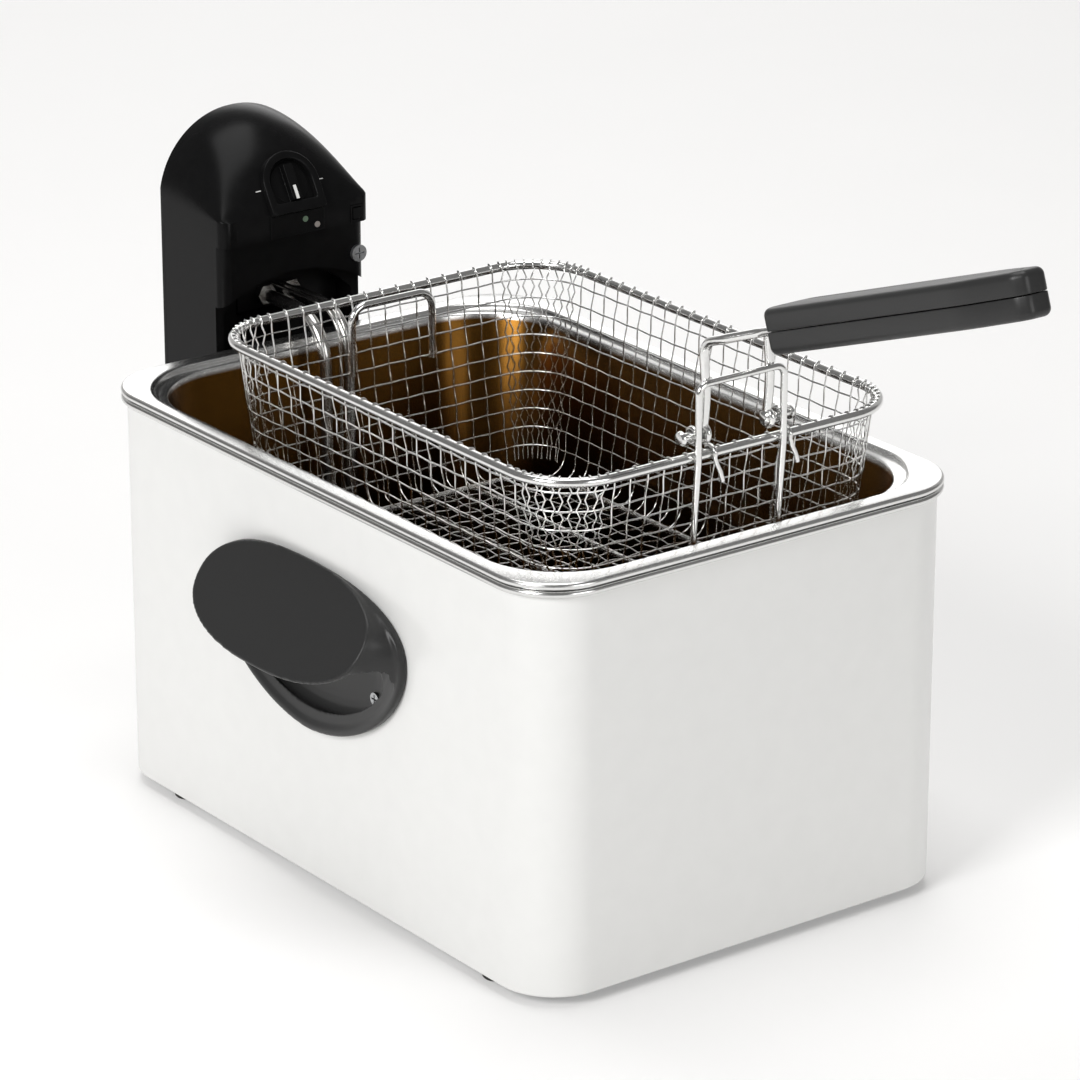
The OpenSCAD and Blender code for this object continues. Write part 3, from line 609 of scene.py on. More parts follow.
@dataclass
class Casing:
    """The lacquered shell, its bright rim and its feet.

    Attributes:
        half_x, half_y: half the shell's width and length.
        corner: radius of its upright corners.
        bottom_z, top_z: heights of its lower and upper edge.
        sheet: thickness of its sheet.
        flange: how far its lower edge turns inwards.
        bead_r, bead_z: radius and height of the rim's bead.
    """

    half_x: float = 120 * MM
    half_y: float = 175 * MM
    corner: float = 29 * MM
    bottom_z: float = 5 * MM
    top_z: float = 196 * MM
    sheet: float = 0.8 * MM
    flange: float = 3 * MM
    bead_r: float = 1.7 * MM
    bead_out: float = 1.3 * MM
    bead_z: float = 197.7 * MM

    def ring(self, out: float, z: float) -> list[Vector]:
        """Returns the shell's outline at a height, moved outwards by out."""
        return rounded_ring(self.half_x + out, self.half_y + out, self.corner + out, z)

    def shell(self) -> bpy.types.Object:
        """Makes the shell with its turned lower edge and the two windows behind the pulls.

        Returns:
            The shell.
        """
        bend = 1.5 * MM
        foot = [(-bend + bend * math.sin(a), self.bottom_z + bend - bend * math.cos(a))
                for a in arc(0, 90, TOE_STEPS)]
        thin = bend - self.sheet
        inner = [(-bend + thin * math.sin(a), self.bottom_z + bend - thin * math.cos(a))
                 for a in arc(90, 0, TOE_STEPS)]
        profile = [(-self.flange, self.bottom_z), *foot, (0.0, self.top_z), (-self.sheet, self.top_z),
                   *inner, (-self.flange, self.bottom_z + self.sheet)]
        shell = Shape().rings([self.ring(out, z) for out, z in profile], loop=True).build("casing_shell")
        for side in (-1, 1):
            window = [ellipse_ring(60.2 * MM, 29.2 * MM, 120 * MM, side * (self.half_x + far))
                      for far in (-5 * MM, 5 * MM)]
            combine(shell, Shape().rings(window).build("window"), "DIFFERENCE")
        return shell

    def rim(self) -> bpy.types.Object:
        """Makes the bright rim: a flat strip on the shell's edge that ends in a round bead.

        Returns:
            The rim.
        """
        bead = [(self.bead_out + self.bead_r * math.cos(a), self.bead_z + self.bead_r * math.sin(a))
                for a in arc(-115, 180, 18)]
        inner = self.half_x - 116.5 * MM
        profile = [(-inner, self.top_z), (0.4 * MM, self.top_z), *bead,
                   (self.bead_out - self.bead_r, self.top_z + 0.8 * MM), (-inner, self.top_z + 0.8 * MM)]
        return Shape().rings([self.ring(out, z) for out, z in profile], loop=True).build("rim_bead")

    def feet(self) -> bpy.types.Object:
        """Makes the four rubber feet, each with a rounded edge and a recess for its screw.

        Returns:
            The feet as one piece.
        """
        shape = Shape()
        profile = [(3.9, 1.2), (3.9, 0.3), (4.2, 0.0), (5.6, 0.0), (6.3, 0.7), (6.6, 2.0), (6.2, 5.8),
                   (2.2, 5.8)]
        for x in (-109, 109):
            for y in (-127, 127):
                shape.lathe([(r * MM, z * MM) for r, z in profile], Vector((x, y, 0)) * MM, Vector((0, 0, 1)))
        return shape.build("rubber_feet_round")

    def build(self) -> None:
        """Builds and dresses the casing's pieces."""
        dress(self.shell(), Finishes.LACQUER, Body.CASING, "outer_casing")
        dress(self.rim(), Finishes.BRIGHT_STEEL, Body.CASING, "casing_rim")
        dress(self.feet(), Finishes.RUBBER, Body.CASING, "rubber_feet")
        paint(Finishes.ZINC, "base_plate", "feet_screws", "rail_screws", "interlock_pin")
        dress(rounded_copy("head_rail", "head_rail_bent", 0.4 * MM), Finishes.ZINC, Body.CASING, "head_rail")


@dataclass
class CarryHandle:
    """A moulded pull in the shell's side: a leaning oval face over a dish for the fingers.

    The profiles below are in millimetres, measured out from the shell's side.

    Attributes:
        side: -1 for the left pull, 1 for the right one.
        wall_x: distance of the shell's side from the middle.
        lean: how far the face leans back at its top, in degrees.
        face_at: distance from the shell and height of the face's middle.
    """

    side: int
    wall_x: float = 120 * MM
    lean: float = 34.5
    face_at: tuple[float, float] = (18.9, 143.8)

    def outline(self, half_y: float, up: float, down: float, powers: tuple[float, float] = (2.0, 2.0),
                drop: float = 0.0) -> list[tuple[float, float]]:
        """Makes an oval in its own plane.

        Args:
            half_y: half its length.
            up: its size above its widest line.
            down: its size below that line.
            powers: 2 for an ellipse above and below that line, more for a fuller shape.
            drop: how far its lower half is drawn down.

        Returns:
            Pairs of place along Y and height over its widest line.
        """
        points = []
        for k in range(128):
            turn = 2 * math.pi * (k + 0.5) / 128
            c, s = math.cos(turn), math.sin(turn)
            power = powers[0] if s > 0 else powers[1]
            high = up * abs(s) ** (2 / power) if s > 0 else -down * abs(s) ** (2 / power) - drop
            points.append((math.copysign(half_y * abs(c) ** (2 / power), c), high))
        return points

    def place(self, outline: Sequence[tuple[float, float]], out: float, z: float,
              lean: float = 0.0) -> list[Vector]:
        """Sets an oval beside the shell.

        Args:
            outline: the oval's points.
            out: distance of its widest line from the shell.
            z: height of its widest line.
            lean: how far it leans back at its top, in degrees.

        Returns:
            Its points beside the left side of the shell.
        """
        sine, cosine = math.sin(math.radians(lean)), math.cos(math.radians(lean))
        return [
            Vector((-self.wall_x - (out - v * sine) * MM, u * MM, (z + v * cosine) * MM))
            for u, v in outline
        ]

    def body_ring(self, inset: float, out: float) -> list[Vector]:
        """Returns the outline of the pull's body on the shell, drawn inwards by inset."""
        return self.place(self.outline(76 - inset, 31 - inset, 52 - inset, (2.4, 1.8)), out, 134)

    def face_ring(self, inset: float, under: float, drop: float = 0.0) -> list[Vector]:
        """Returns the outline of the face, drawn inwards by inset and sunk by under."""
        tilt = math.radians(self.lean)
        outline = self.outline(66 - inset, 27.9 - inset, 27.9 - inset, (2.33, 2.33), drop)
        return self.place(outline, self.face_at[0] - under * math.cos(tilt),
                          self.face_at[1] - under * math.sin(tilt), self.lean)

    def body(self) -> bpy.types.Object:
        """Makes the oval body on the shell and the dish that sinks through its window.

        Returns:
            Both as one solid.
        """
        edge = [(0.4, 0.1), (0.0, 0.5), (0.0, 3.7), (0.3, 4.3), (0.9, 4.5)]
        dish = [
            (59.8, 28.8, 1.5), (59.8, 28.8, -1.5), (59.0, 28.0, -3.8),
            (57.0, 26.0, -5.0), (55.0, 24.0, -5.5),
        ]
        body = Shape().rings([self.body_ring(inset, out) for inset, out in edge]).build("pull_body")
        sunk = Shape().rings([self.place(self.outline(a, b, b), out, 120) for a, b, out in dish])
        return combine(body, sunk.build("pull_dish"), "UNION")

    def hood(self) -> bpy.types.Object:
        """Makes the hood, whose flank sweeps in a hollow curve from the face to the body.

        Returns:
            The hood as a full solid.
        """
        low, high = self.body_ring(1.0, 2.0), self.face_ring(0.0, 0.7)
        rings = []
        for step in range(13):
            t = step / 12
            rings.append([Vector((a.x + (b.x - a.x) * t, *(a.yz + (b.yz - a.yz) * (1 - (1 - t) ** 1.7))))
                          for a, b in zip(low, high)])
        rings += [self.face_ring(0.2, 0.25), self.face_ring(0.7, 0.0), self.face_ring(18.0, -0.1)]
        return Shape().rings(rings).build("pull_hood")

    def hollow(self) -> bpy.types.Object:
        """Makes the room under the face, open downwards."""
        outline = self.outline(70.5, 25.5, 46.5, (2.4, 1.8), 50.0)
        rings = [self.place(outline, 4.6, 134), self.face_ring(4.5, 3.6, 60.0)]
        return Shape().rings(rings).build("pull_hollow")

    def dish(self) -> bpy.types.Object:
        """Makes the hollow of the dish, which widens to the body's edge."""
        profile = [(40.0, 12.0, -3.7), (46.0, 16.0, -3.6), (51.0, 20.0, -3.2), (54.5, 23.5, -2.4),
                   (56.9, 25.9, -1.2), (58.1, 27.1, 0.4), (58.5, 27.5, 1.7)]
        rings = [self.place(self.outline(a, b, b), out, 120) for a, b, out in profile]
        rings += [self.body_ring(11.5, 2.3), self.body_ring(6.0, 3.1), self.body_ring(1.8, 4.7)]
        return Shape().rings(rings).build("pull_dish_room")

    def build(self) -> None:
        """Builds and dresses the pull."""
        word = "left" if self.side < 0 else "right"
        pull = combine(self.body(), self.hood(), "UNION")
        combine(pull, self.hollow(), "DIFFERENCE")
        combine(pull, self.dish(), "DIFFERENCE")
        pull.name = f"pull_{word}"
        moulded(pull, (0.8) * MM, 3)
        if self.side > 0:
            pull.data.transform(Matrix.Diagonal((-1, 1, 1, 1)))
            pull.data.flip_normals()
        dress(pull, Finishes.GREY_PLASTIC, Body.CASING, f"carry_handle_{word}")


# ---------- tank ----------


@dataclass
class OilTank:
    """The lift-out steel tank with its broad bright flange.

    Attributes:
        bead_r, bead_z: radius and height of the outer bead.
        top_z: height of the flange.
        band_z: height of the band round the mouth.
        floor_z: height of the floor's upper face.
        draft: how far the wall leans inwards, in degrees.
        sheet: thickness of the sheet.
        toe_r: radius between wall and floor.
    """

    bead_r: float = 1.7 * MM
    bead_z: float = 201.4 * MM
    top_z: float = 202.9 * MM
    band_z: float = 200.3 * MM
    floor_z: float = 26.9 * MM
    draft: float = 1.5
    sheet: float = 0.9 * MM
    toe_r: float = 11.5 * MM

    def tub(self, grow: float, top_z: float, floor_z: float, toe_r: float) -> list[list[Vector]]:
        """Makes the rings of the tub's wall, from its floor up.

        Args:
            grow: how much wider than the inner face these rings are.
            top_z: height of the highest ring.
            floor_z: height of the floor.
            toe_r: radius between wall and floor.

        Returns:
            The rings.
        """
        lean = math.tan(math.radians(self.draft))
        rings = []
        for a in arc(0, 90, 8):
            z = floor_z + toe_r * (1 - math.cos(a))
            inset = (self.band_z - z) * lean + toe_r * (1 - math.sin(a))
            size = grow - inset
            rings.append(rounded_ring(110 * MM + size, 164.5 * MM + size, 43 * MM + size, z))
        rings.append(rounded_ring(110 * MM + grow, 164.5 * MM + grow, 43 * MM + grow, top_z))
        return rings

    def build(self) -> None:
        """Builds and dresses the tank as one pressed sheet."""
        centre = 121.3 * MM, 176.3 * MM, 30.3 * MM
        inside = self.tub(0.0, self.band_z - 1.0 * MM, self.floor_z, self.toe_r)
        upper = [(110.3, 164.8, 43.0, 199.7), (111.0, 165.5, 43.2, 200.2), (113.2, 167.0, 42.6, 200.3),
                 (114.2, 167.8, 42.2, 200.7), (114.7, 168.3, 42.0, 201.8), (115.1, 168.7, 41.9, 202.7),
                 (115.9, 169.5, 41.2, 203.1), (117.0, 170.8, 39.5, 202.9)]
        flange = [rounded_ring(*(value * MM for value in ring)) for ring in upper]
        bead = []
        for a in arc(80, -175, 18):
            out, up = self.bead_r * math.cos(a), self.bead_r * math.sin(a)
            bead.append(rounded_ring(*(size + out for size in centre), self.bead_z + up))
        under = [rounded_ring(116.5 * MM, 170.0 * MM, 41.5 * MM, self.top_z - 1.7 * MM),
                 rounded_ring(115.6 * MM, 169.2 * MM, 42.0 * MM, 199.4 * MM)]
        outside = self.tub(self.sheet, 199.4 * MM, self.floor_z - self.sheet, self.toe_r + 0.5 * MM)
        tank = Shape().rings([*inside, *flange, *bead, *under, *reversed(outside)]).build("tank_pressing", 50)
        dress(tank, Finishes.TANK_STEEL, Body.TANK, "oil_tank")


# ---------- control head ----------


@dataclass
class TopCover:
    """The head's glossy dome, which falls in a curve to a straight lip.

    Attributes:
        half_x: half its width.
        back_y, lip_y: places of its back and of its lip.
        foot_z: height where the dome meets its skirt.
        height: height of the dome over that.
        skirt_z: height of the skirt's lower edge.
        corner: radius of the front corners.
        brow: how far round its curve the dome goes before the lip, in degrees.
    """

    half_x: float = 43.5 * MM
    back_y: float = 240 * MM
    lip_y: float = 185.5 * MM
    foot_z: float = 263.5 * MM
    height: float = 41.5 * MM
    skirt_z: float = 250.6 * MM
    corner: float = 5 * MM
    brow: float = 65.0

    def half_width(self, y: float) -> float:
        """Returns half the cover's width at a place along Y, with its front corners rounded."""
        into = self.corner - (y - self.lip_y)
        if into <= 0:
            return self.half_x
        return self.half_x - self.corner + math.sqrt(max(0.0, self.corner**2 - into**2))

    def share(self, y: float) -> float:
        """Returns how far round the dome's curve a place along Y lies, from 0 at the back to 1 at the lip."""
        turn = math.radians(self.brow)
        return math.asin((self.back_y - y) / (self.back_y - self.lip_y) * math.sin(turn)) / turn

    def surface(self) -> bpy.types.Object:
        """Makes the dome and its skirt as one skin, open below and at the back.

        Returns:
            The skin, given its thickness.
        """
        turn = math.radians(self.brow)
        across = [math.cos(t) for t in arc(0, 180, 48)]
        rise = [math.sin(t) for t in arc(0, 180, 48)]
        shape = Shape()
        width = len(across)
        corner = [self.share(self.lip_y + self.corner * (1 - math.sin(a))) for a in arc(0, 90, 10)]
        shares = [corner[0] * k / 24 for k in range(24)] + corner
        for share in shares:
            y = self.back_y - (self.back_y - self.lip_y) * math.sin(share * turn) / math.sin(turn)
            fall = (math.cos(share * turn) - math.cos(turn)) / (1 - math.cos(turn))
            half = self.half_width(y)
            for c, s in zip(across, rise):
                shape.points.append(Vector((half * c, y, self.foot_z + self.height * fall * s)))
        rows = len(shares)
        for row in range(rows - 1):
            for k in range(width - 1):
                a = row * width + k
                shape.faces.append((a, a + 1, a + width + 1, a + width))
        edge = [row * width for row in range(rows)]
        edge += [(rows - 1) * width + k for k in range(1, width - 1)]
        edge += [row * width + width - 1 for row in range(rows - 1, -1, -1)]
        base = len(shape.points)
        for index in edge:
            shape.points.append(Vector((*shape.points[index].xy, self.skirt_z)))
        for k in range(len(edge) - 1):
            shape.faces.append((edge[k], edge[k + 1], base + k + 1, base + k))
        cover = shape.build("cover_dome", 30)
        step = cover.modifiers.new("wall", "SOLIDIFY")
        step.thickness, step.offset, step.use_even_offset = 2.0 * MM, -1.0, True
        bake(cover)
        tidy_mesh(cover, 35)
        return cover

    def build(self) -> None:
        """Builds and dresses the cover, with its cut-out for the rocker."""
        cover = self.surface()
        low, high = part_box("rocker_frame")
        grow = 0.12 * MM
        corners = [(low.x - grow, low.z - grow), (high.x + grow, low.z - grow), (high.x + grow, high.z + grow),
                   (low.x - grow, high.z + grow)]
        cutter = Shape().rings([[Vector((x, y, z)) for x, z in corners]
                                for y in (self.lip_y - 3 * MM, self.lip_y + 6 * MM)]).build("hole")
        combine(cover, cutter, "DIFFERENCE")
        dress(cover, Finishes.GLOSS_BLACK, Body.HEAD, "head_top_cover")


@dataclass
class ControlHead:
    """The head's moulded parts, its controls and what they hold.

    Attributes:
        dial_out: direction straight out of the dial.
        dial_up: direction up the slope that the dial lies on.
    """

    dial_out: Vector = Vector((0, -math.cos(DIAL_SLOPE), math.sin(DIAL_SLOPE)))
    dial_up: Vector = Vector((0, math.sin(DIAL_SLOPE), math.cos(DIAL_SLOPE)))

    def dial_marks(self) -> bpy.types.Object:
        """Makes the two raised tick marks beside the dial, on the dome's slope.

        Returns:
            The marks as one piece.
        """
        low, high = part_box("thermostat_knob")
        middle = (low + high) / 2
        shape = Shape()
        out, up = self.dial_out, self.dial_up
        for side in (-1, 1):
            foot = Vector((side * 17.0 * MM, middle.y, middle.z)) + out * 0.1 * MM - up * 0.5 * MM
            ends = [foot + Vector((side * far, 0, 0)) for far in (0.0, 2.8 * MM)]
            rings = []
            for end, drop in zip(ends, (0.0, 0.3 * MM)):
                base = end - out * (1.6 * MM + drop)
                half, top = up * 0.22 * MM, out * 1.9 * MM
                rings.append([base - half, base + half, base + half + top, base - half + top])
            shape.rings(rings)
        return shape.build("dial_marks")

    def arch(self, radius: float, foot: float, out: float) -> list[Vector]:
        """Makes an arch on the dial's plane: a half circle on two straight sides.

        Args:
            radius: radius of the half circle and half the arch's width, in millimetres.
            foot: distance of its straight lower edge from the dial's middle, in millimetres.
            out: distance out from the dial's plane, in millimetres.

        Returns:
            Its points.
        """
        soft = 1.6
        outline = [(radius * math.cos(a), radius * math.sin(a)) for a in arc(0, 180, 32)]
        for side, start in ((-1, 180), (1, 270)):
            for a in arc(start, start + 90, 6):
                across = side * (radius - soft) + soft * math.cos(a)
                outline.append((across, -foot + soft + soft * math.sin(a)))
        middle = Vector((0, 191.5, 275.6))
        return [
            (middle + Vector((u, 0, 0)) + self.dial_up * v + self.dial_out * out) * MM
            for u, v in outline
        ]

    def bezel(self) -> bpy.types.Object:
        """Makes the arched frame that the dial sits in."""
        outside = [(15.9, 15.0, -7.5), (15.9, 15.0, 2.2), (15.8, 14.9, 2.55), (15.4, 14.5, 2.75)]
        recess = [(12.6, 10.2, 2.75), (12.2, 9.8, 2.55), (12.0, 9.6, 2.2), (11.6, 9.4, -6.0)]
        return Shape().rings([self.arch(*ring) for ring in outside + recess]).build("bezel_arch", 50)

    def apron(self) -> bpy.types.Object:
        """Makes the thin apron below the arch, which the two lamps come through."""
        corners = [(-15.8, 251.1), (15.8, 251.1), (15.8, 263.0), (-15.8, 263.0)]
        rings = [[Vector((x, y, z)) * MM for x, z in corners] for y in (184.7, 186.2)]
        return soften(Shape().rings(rings).build("bezel_apron"), 0.25 * MM)

    def build(self) -> None:
        """Builds and dresses the head."""
        dress(self.bezel(), Finishes.GLOSS_BLACK, Body.HEAD, "dial_bezel")
        dress(self.apron(), Finishes.GLOSS_BLACK, Body.HEAD)
        pieces = (
            ("head_housing", Finishes.GLOSS_BLACK, 1.2),
            ("head_rear_cover", Finishes.GLOSS_BLACK, 0.5),
            ("rocker_frame", Finishes.GLOSS_BLACK, 0.25),
            ("cord_gland", Finishes.RUBBER, 0.4),
            ("element_bracket", Finishes.GLOSS_BLACK, 0.2),
            ("runner_plate", Finishes.ZINC, 0.2),
            ("element_nuts", Finishes.ELEMENT, 0.3),
        )
        for node, finish, width in pieces:
            dress(rounded_copy(node, f"{node}_moulded", width * MM), finish, Body.HEAD, node)
        dress(rounded_copy("thermostat_knob", "knob_moulded", 0.4 * MM), Finishes.GLOSS_BLACK, Body.KNOB,
              "thermostat_knob")
        dress(rounded_copy("rocker_key", "rocker_moulded", 0.3 * MM), Finishes.GLOSS_BLACK, Body.ROCKER,
              "rocker_key")
        dress(rounded_copy("reset_button", "reset_moulded", 0.3 * MM), Finishes.RED_PLASTIC, Body.RESET,
              "reset_button")
        dress(self.dial_marks(), Finishes.WHITE_MARK, Body.HEAD)
        paint(Finishes.WHITE_MARK, "knob_pointer")
        paint(Finishes.SPINDLE, "thermostat_spindle")
        paint(Finishes.GREEN_LENS, "power_lamp")
        paint(Finishes.RED_LENS, "heat_lamp")
        paint(Finishes.CERAMIC, "terminal_block", "thermostat_body", "thermal_cutout")
        paint(Finishes.SILICONE, "internal_wires")
        paint(Finishes.BLUE_PLASTIC, "interlock_switch")
        paint(Finishes.ZINC, "head_screws")
        paint(Finishes.BRIGHT_STEEL, "element_stay", "bulb_clip")


@dataclass
class HeatingSet:
    """The bent element and the two sensing bulbs with their capillaries.

    Attributes:
        tube_r: radius of the element's tube.
        leg_x: distance of each leg from the middle.
    """

    tube_r: float = 3.25 * MM
    leg_x: float = 7.2 * MM

    def element(self) -> bpy.types.Object:
        """Makes the element: over the rim, down, and to and fro along the floor.

        Returns:
            The element.
        """
        steps = [(47, 24, 90, 0), (133, 12, 90, 90), (44.8, 16, 90, 90), (232, 16, 180, 0),
                 (176, 16, 180, 180), (176, 16, 90, 180)]
        half = bent_path(Vector((self.leg_x, 223 * MM, 217 * MM)), Vector((0, -1, 0)), Vector((0, 0, -1)),
                         [(run * MM, radius * MM, angle, roll) for run, radius, angle, roll in steps])
        path = half[:-1] + mirrored(half, -1)[::-1]
        return Shape().tube(path, self.tube_r, 20).build("element_tube", 60)

    def sensor(self, side: int, bulb_l: float, name: str) -> bpy.types.Object:
        """Makes one bulb and its capillary.

        Args:
            side: 1 or -1.
            bulb_l: length of the bulb.
            name: name of the piece.

        Returns:
            The piece.
        """
        steps = [(56, 19, 90, 0), (137.5, 4, 90, 90), (4, 5, 90, 90), (41, 1, 0, 0)]
        path = bent_path(Vector((2.1, 221, 221.5)) * MM, Vector((0, -1, 0)), Vector((0, 0, -1)),
                         [(run * MM, radius * MM, angle, roll) for run, radius, angle, roll in steps])
        shape = Shape().tube(mirrored(path, side), 0.8 * MM, 10)
        end = bulb_l / MM
        profile = [(0.8, 0), (1.6, 0.4), (2.6, 1.2), (3.0, 2.6), (3.0, end - 2), (2.4, end - 0.5), (1.2, end)]
        shape.lathe([(r * MM, far * MM) for r, far in profile], Vector((side * 15.1, 100.5, 61)) * MM,
                    Vector((0, -1, 0)), 24)
        return shape.build(name, 50)

    def build(self) -> None:
        """Builds and dresses the element and the sensors."""
        dress(self.element(), Finishes.ELEMENT, Body.HEAD, "heating_element")
        dress(self.sensor(1, 90 * MM, "thermostat_sensor"), Finishes.ELEMENT, Body.HEAD, "thermostat_bulb")
        dress(self.sensor(-1, 70 * MM, "cutout_sensor"), Finishes.ELEMENT, Body.HEAD, "cutout_bulb")


# ---------- basket ----------


@dataclass
class FryBasket:
    """The woven basket with its rim, its bottom frame, its hook and the handle's bracket.

    Attributes:
        mid_y: place of the basket's middle.
        rim_x, rim_y, rim_corner, rim_z: the rim wire's half sizes, corner radius and height.
        rim_r: radius of the rim wire.
        mesh_x, mesh_y, mesh_corner: the mesh's half sizes and corner radius at its top.
        mesh_top, mesh_floor: heights of the mesh's top and floor.
        draft: lean of its walls, in degrees.
        toe: radius between its walls and its floor.
        pitch: distance from wire to wire.
        wire_r: radius of the mesh wires.
        wave: how far a woven wire swings to either side.
    """

    mid_y: float = -21.5 * MM
    rim_x: float = 99.2 * MM
    rim_y: float = 136.2 * MM
    rim_corner: float = 31 * MM
    rim_z: float = 238.5 * MM
    rim_r: float = 2.3 * MM
    mesh_x: float = 96.3 * MM
    mesh_y: float = 133.3 * MM
    mesh_corner: float = 28 * MM
    mesh_top: float = 237.3 * MM
    mesh_floor: float = 138.9 * MM
    draft: float = 7.0
    toe: float = 8 * MM
    pitch: float = 9.25 * MM
    wire_r: float = 0.42 * MM
    wave: float = 0.40 * MM

    def inset(self, z: float) -> float:
        """Returns how far the wall has come inwards at a height."""
        return (self.mesh_top - z) * math.tan(math.radians(self.draft))

    def section(self, half_top: float) -> list[tuple[float, float]]:
        """Makes half the basket's section, from the middle of the floor out and up to the rim.

        Args:
            half_top: half the size of the mesh at its top.

        Returns:
            Pairs of distance from the middle and height.
        """
        lean = math.radians(self.draft)
        corner_x = half_top - self.inset(self.mesh_floor)
        reach = self.toe * math.tan((math.pi / 2 - lean) / 2)
        centre = corner_x - reach, self.mesh_floor + self.toe
        points = [(0.0, self.mesh_floor)]
        for a in arc(0, 90 - self.draft, 8):
            points.append((centre[0] + self.toe * math.sin(a), centre[1] - self.toe * math.cos(a)))
        points.append((half_top, self.mesh_top))
        return points

    @staticmethod
    def at(section: Sequence[tuple[float, float]], length: float) -> tuple[float, float, float, float]:
        """Finds a point a given length along a section.

        Args:
            section: the section's points.
            length: length along it from its start.

        Returns:
            The point's two coordinates and its inward normal's two coordinates.
        """
        for (x0, z0), (x1, z1) in zip(section, section[1:]):
            span = math.hypot(x1 - x0, z1 - z0)
            if length <= span or (x1, z1) == section[-1]:
                ux, uz = (x1 - x0) / span, (z1 - z0) / span
                return x0 + ux * length, z0 + uz * length, -uz, ux
            length -= span
        raise ValueError("empty section")

    def length(self, section: Sequence[tuple[float, float]]) -> float:
        """Returns the length of a section."""
        return sum(math.dist(a, b) for a, b in zip(section, section[1:]))

    def levels(self) -> list[tuple[int, float]]:
        """Returns the number and the height of every level wire on the walls."""
        section = self.section(self.mesh_x)
        found = []
        for k in range(1, int(self.length(section) / self.pitch) + 1):
            _, z, _, _ = self.at(section, k * self.pitch)
            if z > self.mesh_floor + self.toe * 0.6:
                found.append((k, z))
        return found

    def wrap(self, out: float, steps: int = 8) -> list[tuple[float, float]]:
        """Makes the last turn of a wire over the rim.

        Args:
            out: distance of the rim wire from the middle.
            steps: number of pieces.

        Returns:
            Pairs of distance from the middle and height.
        """
        far = self.rim_r + self.wire_r
        return [(out + far * math.cos(a), self.rim_z + far * math.sin(a)) for a in arc(185, 75, steps)]

    def hoop(self, index: int, along_x: bool) -> list[Vector]:
        """Makes a wire that runs down one wall, across the floor and up the other wall.

        Args:
            index: number of the wire from the basket's middle.
            along_x: whether it crosses the floor along X; if not, along Y.

        Returns:
            The wire's path.
        """
        section = self.section(self.mesh_x if along_x else self.mesh_y)
        rim = self.rim_x if along_x else self.rim_y
        total = self.length(section)
        half = []
        step = self.pitch / 4
        sign = 1 if along_x else -1
        for k in range(int(total / step)):
            x, z, nx, nz = self.at(section, k * step)
            swing = sign * self.wave * math.cos(math.pi * (k * step / self.pitch + index))
            half.append((x + nx * swing, z + nz * swing))
        half += self.wrap(rim)
        both = [(-x, z) for x, z in half[:0:-1]] + half
        side = index * self.pitch
        if along_x:
            return [Vector((x, self.mid_y + side, z)) for x, z in both]
        return [Vector((side, self.mid_y + x, z)) for x, z in both]

    def level_wire(self, number: int, z: float) -> list[Vector]:
        """Makes a closed level wire.

        Args:
            number: its number along the section, which sets how it weaves.
            z: its height.

        Returns:
            Its path.
        """
        inset = self.inset(z)
        half_x, half_y = self.mesh_x - inset, self.mesh_y - inset
        corner = self.mesh_corner - inset
        straight_x, straight_y = half_x - corner, half_y - corner
        path = []
        for turn in range(4):
            a = turn * math.pi / 2
            out = Vector((math.cos(a), math.sin(a), 0))
            along = Vector((-math.sin(a), math.cos(a), 0))
            reach = half_x if turn % 2 == 0 else half_y
            run = straight_y if turn % 2 == 0 else straight_x
            steps = int(run / (self.pitch / 2))
            for k in range(-steps, steps + 1):
                far = k * self.pitch / 2
                swing = -self.wave * math.cos(math.pi * (far / self.pitch + number))
                path.append(out * (reach - swing) + along * far)
            centre = out * (reach - corner) + along * run
            for b in arc(0, 90, 6):
                path.append(centre + (out * math.cos(b) + along * math.sin(b)) * corner)
        return [Vector((p.x, p.y + self.mid_y, z)) for p in path]

    def corner_wires(self, shape: Shape) -> None:
        """Adds the crimped wires that are gathered at the four corners.

        Args:
            shape: the shape to add to.
        """
        count = 11
        lowest = self.mesh_floor + self.toe * 0.5
        levels = [lowest + (self.mesh_top - lowest) * k / 22 for k in range(23)]
        for sx in (-1, 1):
            for sy in (-1, 1):
                for wire in range(count):
                    turn = math.radians(4 + 82 * wire / (count - 1))
                    path = []
                    for k, z in enumerate(levels):
                        inset = self.inset(z)
                        radius = self.mesh_corner - inset
                        crimp = (0.9 if (k + wire) % 2 else -0.9) * MM * min(1.0, k / 4)
                        a = turn + crimp / radius
                        out = radius + (0.5 if wire % 2 else -0.5) * MM
                        x = self.mesh_x - self.mesh_corner + out * math.cos(a)
                        y = self.mesh_y - self.mesh_corner + out * math.sin(a)
                        path.append(Vector((sx * x, sy * y + self.mid_y, z)))
                    for out, height in self.wrap(self.rim_corner, 6):
                        x = self.rim_x - self.rim_corner + out * math.cos(turn)
                        y = self.rim_y - self.rim_corner + out * math.sin(turn)
                        path.append(Vector((sx * x, sy * y + self.mid_y, height)))
                    shape.tube(path, self.wire_r, 6)

    def mesh(self) -> bpy.types.Object:
        """Weaves the basket's mesh out of single wires.

        Returns:
            The mesh.
        """
        shape = Shape()
        rows = int((self.mesh_y - self.mesh_corner) / self.pitch)
        columns = int((self.mesh_x - self.mesh_corner) / self.pitch)
        for index in range(-rows, rows + 1):
            shape.tube(self.hoop(index, True), self.wire_r, 6)
        for index in range(-columns, columns + 1):
            shape.tube(self.hoop(index, False), self.wire_r, 6)
        for number, z in self.levels():
            shape.tube(self.level_wire(number, z), self.wire_r, 6, closed=True)
        self.corner_wires(shape)
        return shape.build("woven_mesh", 80)

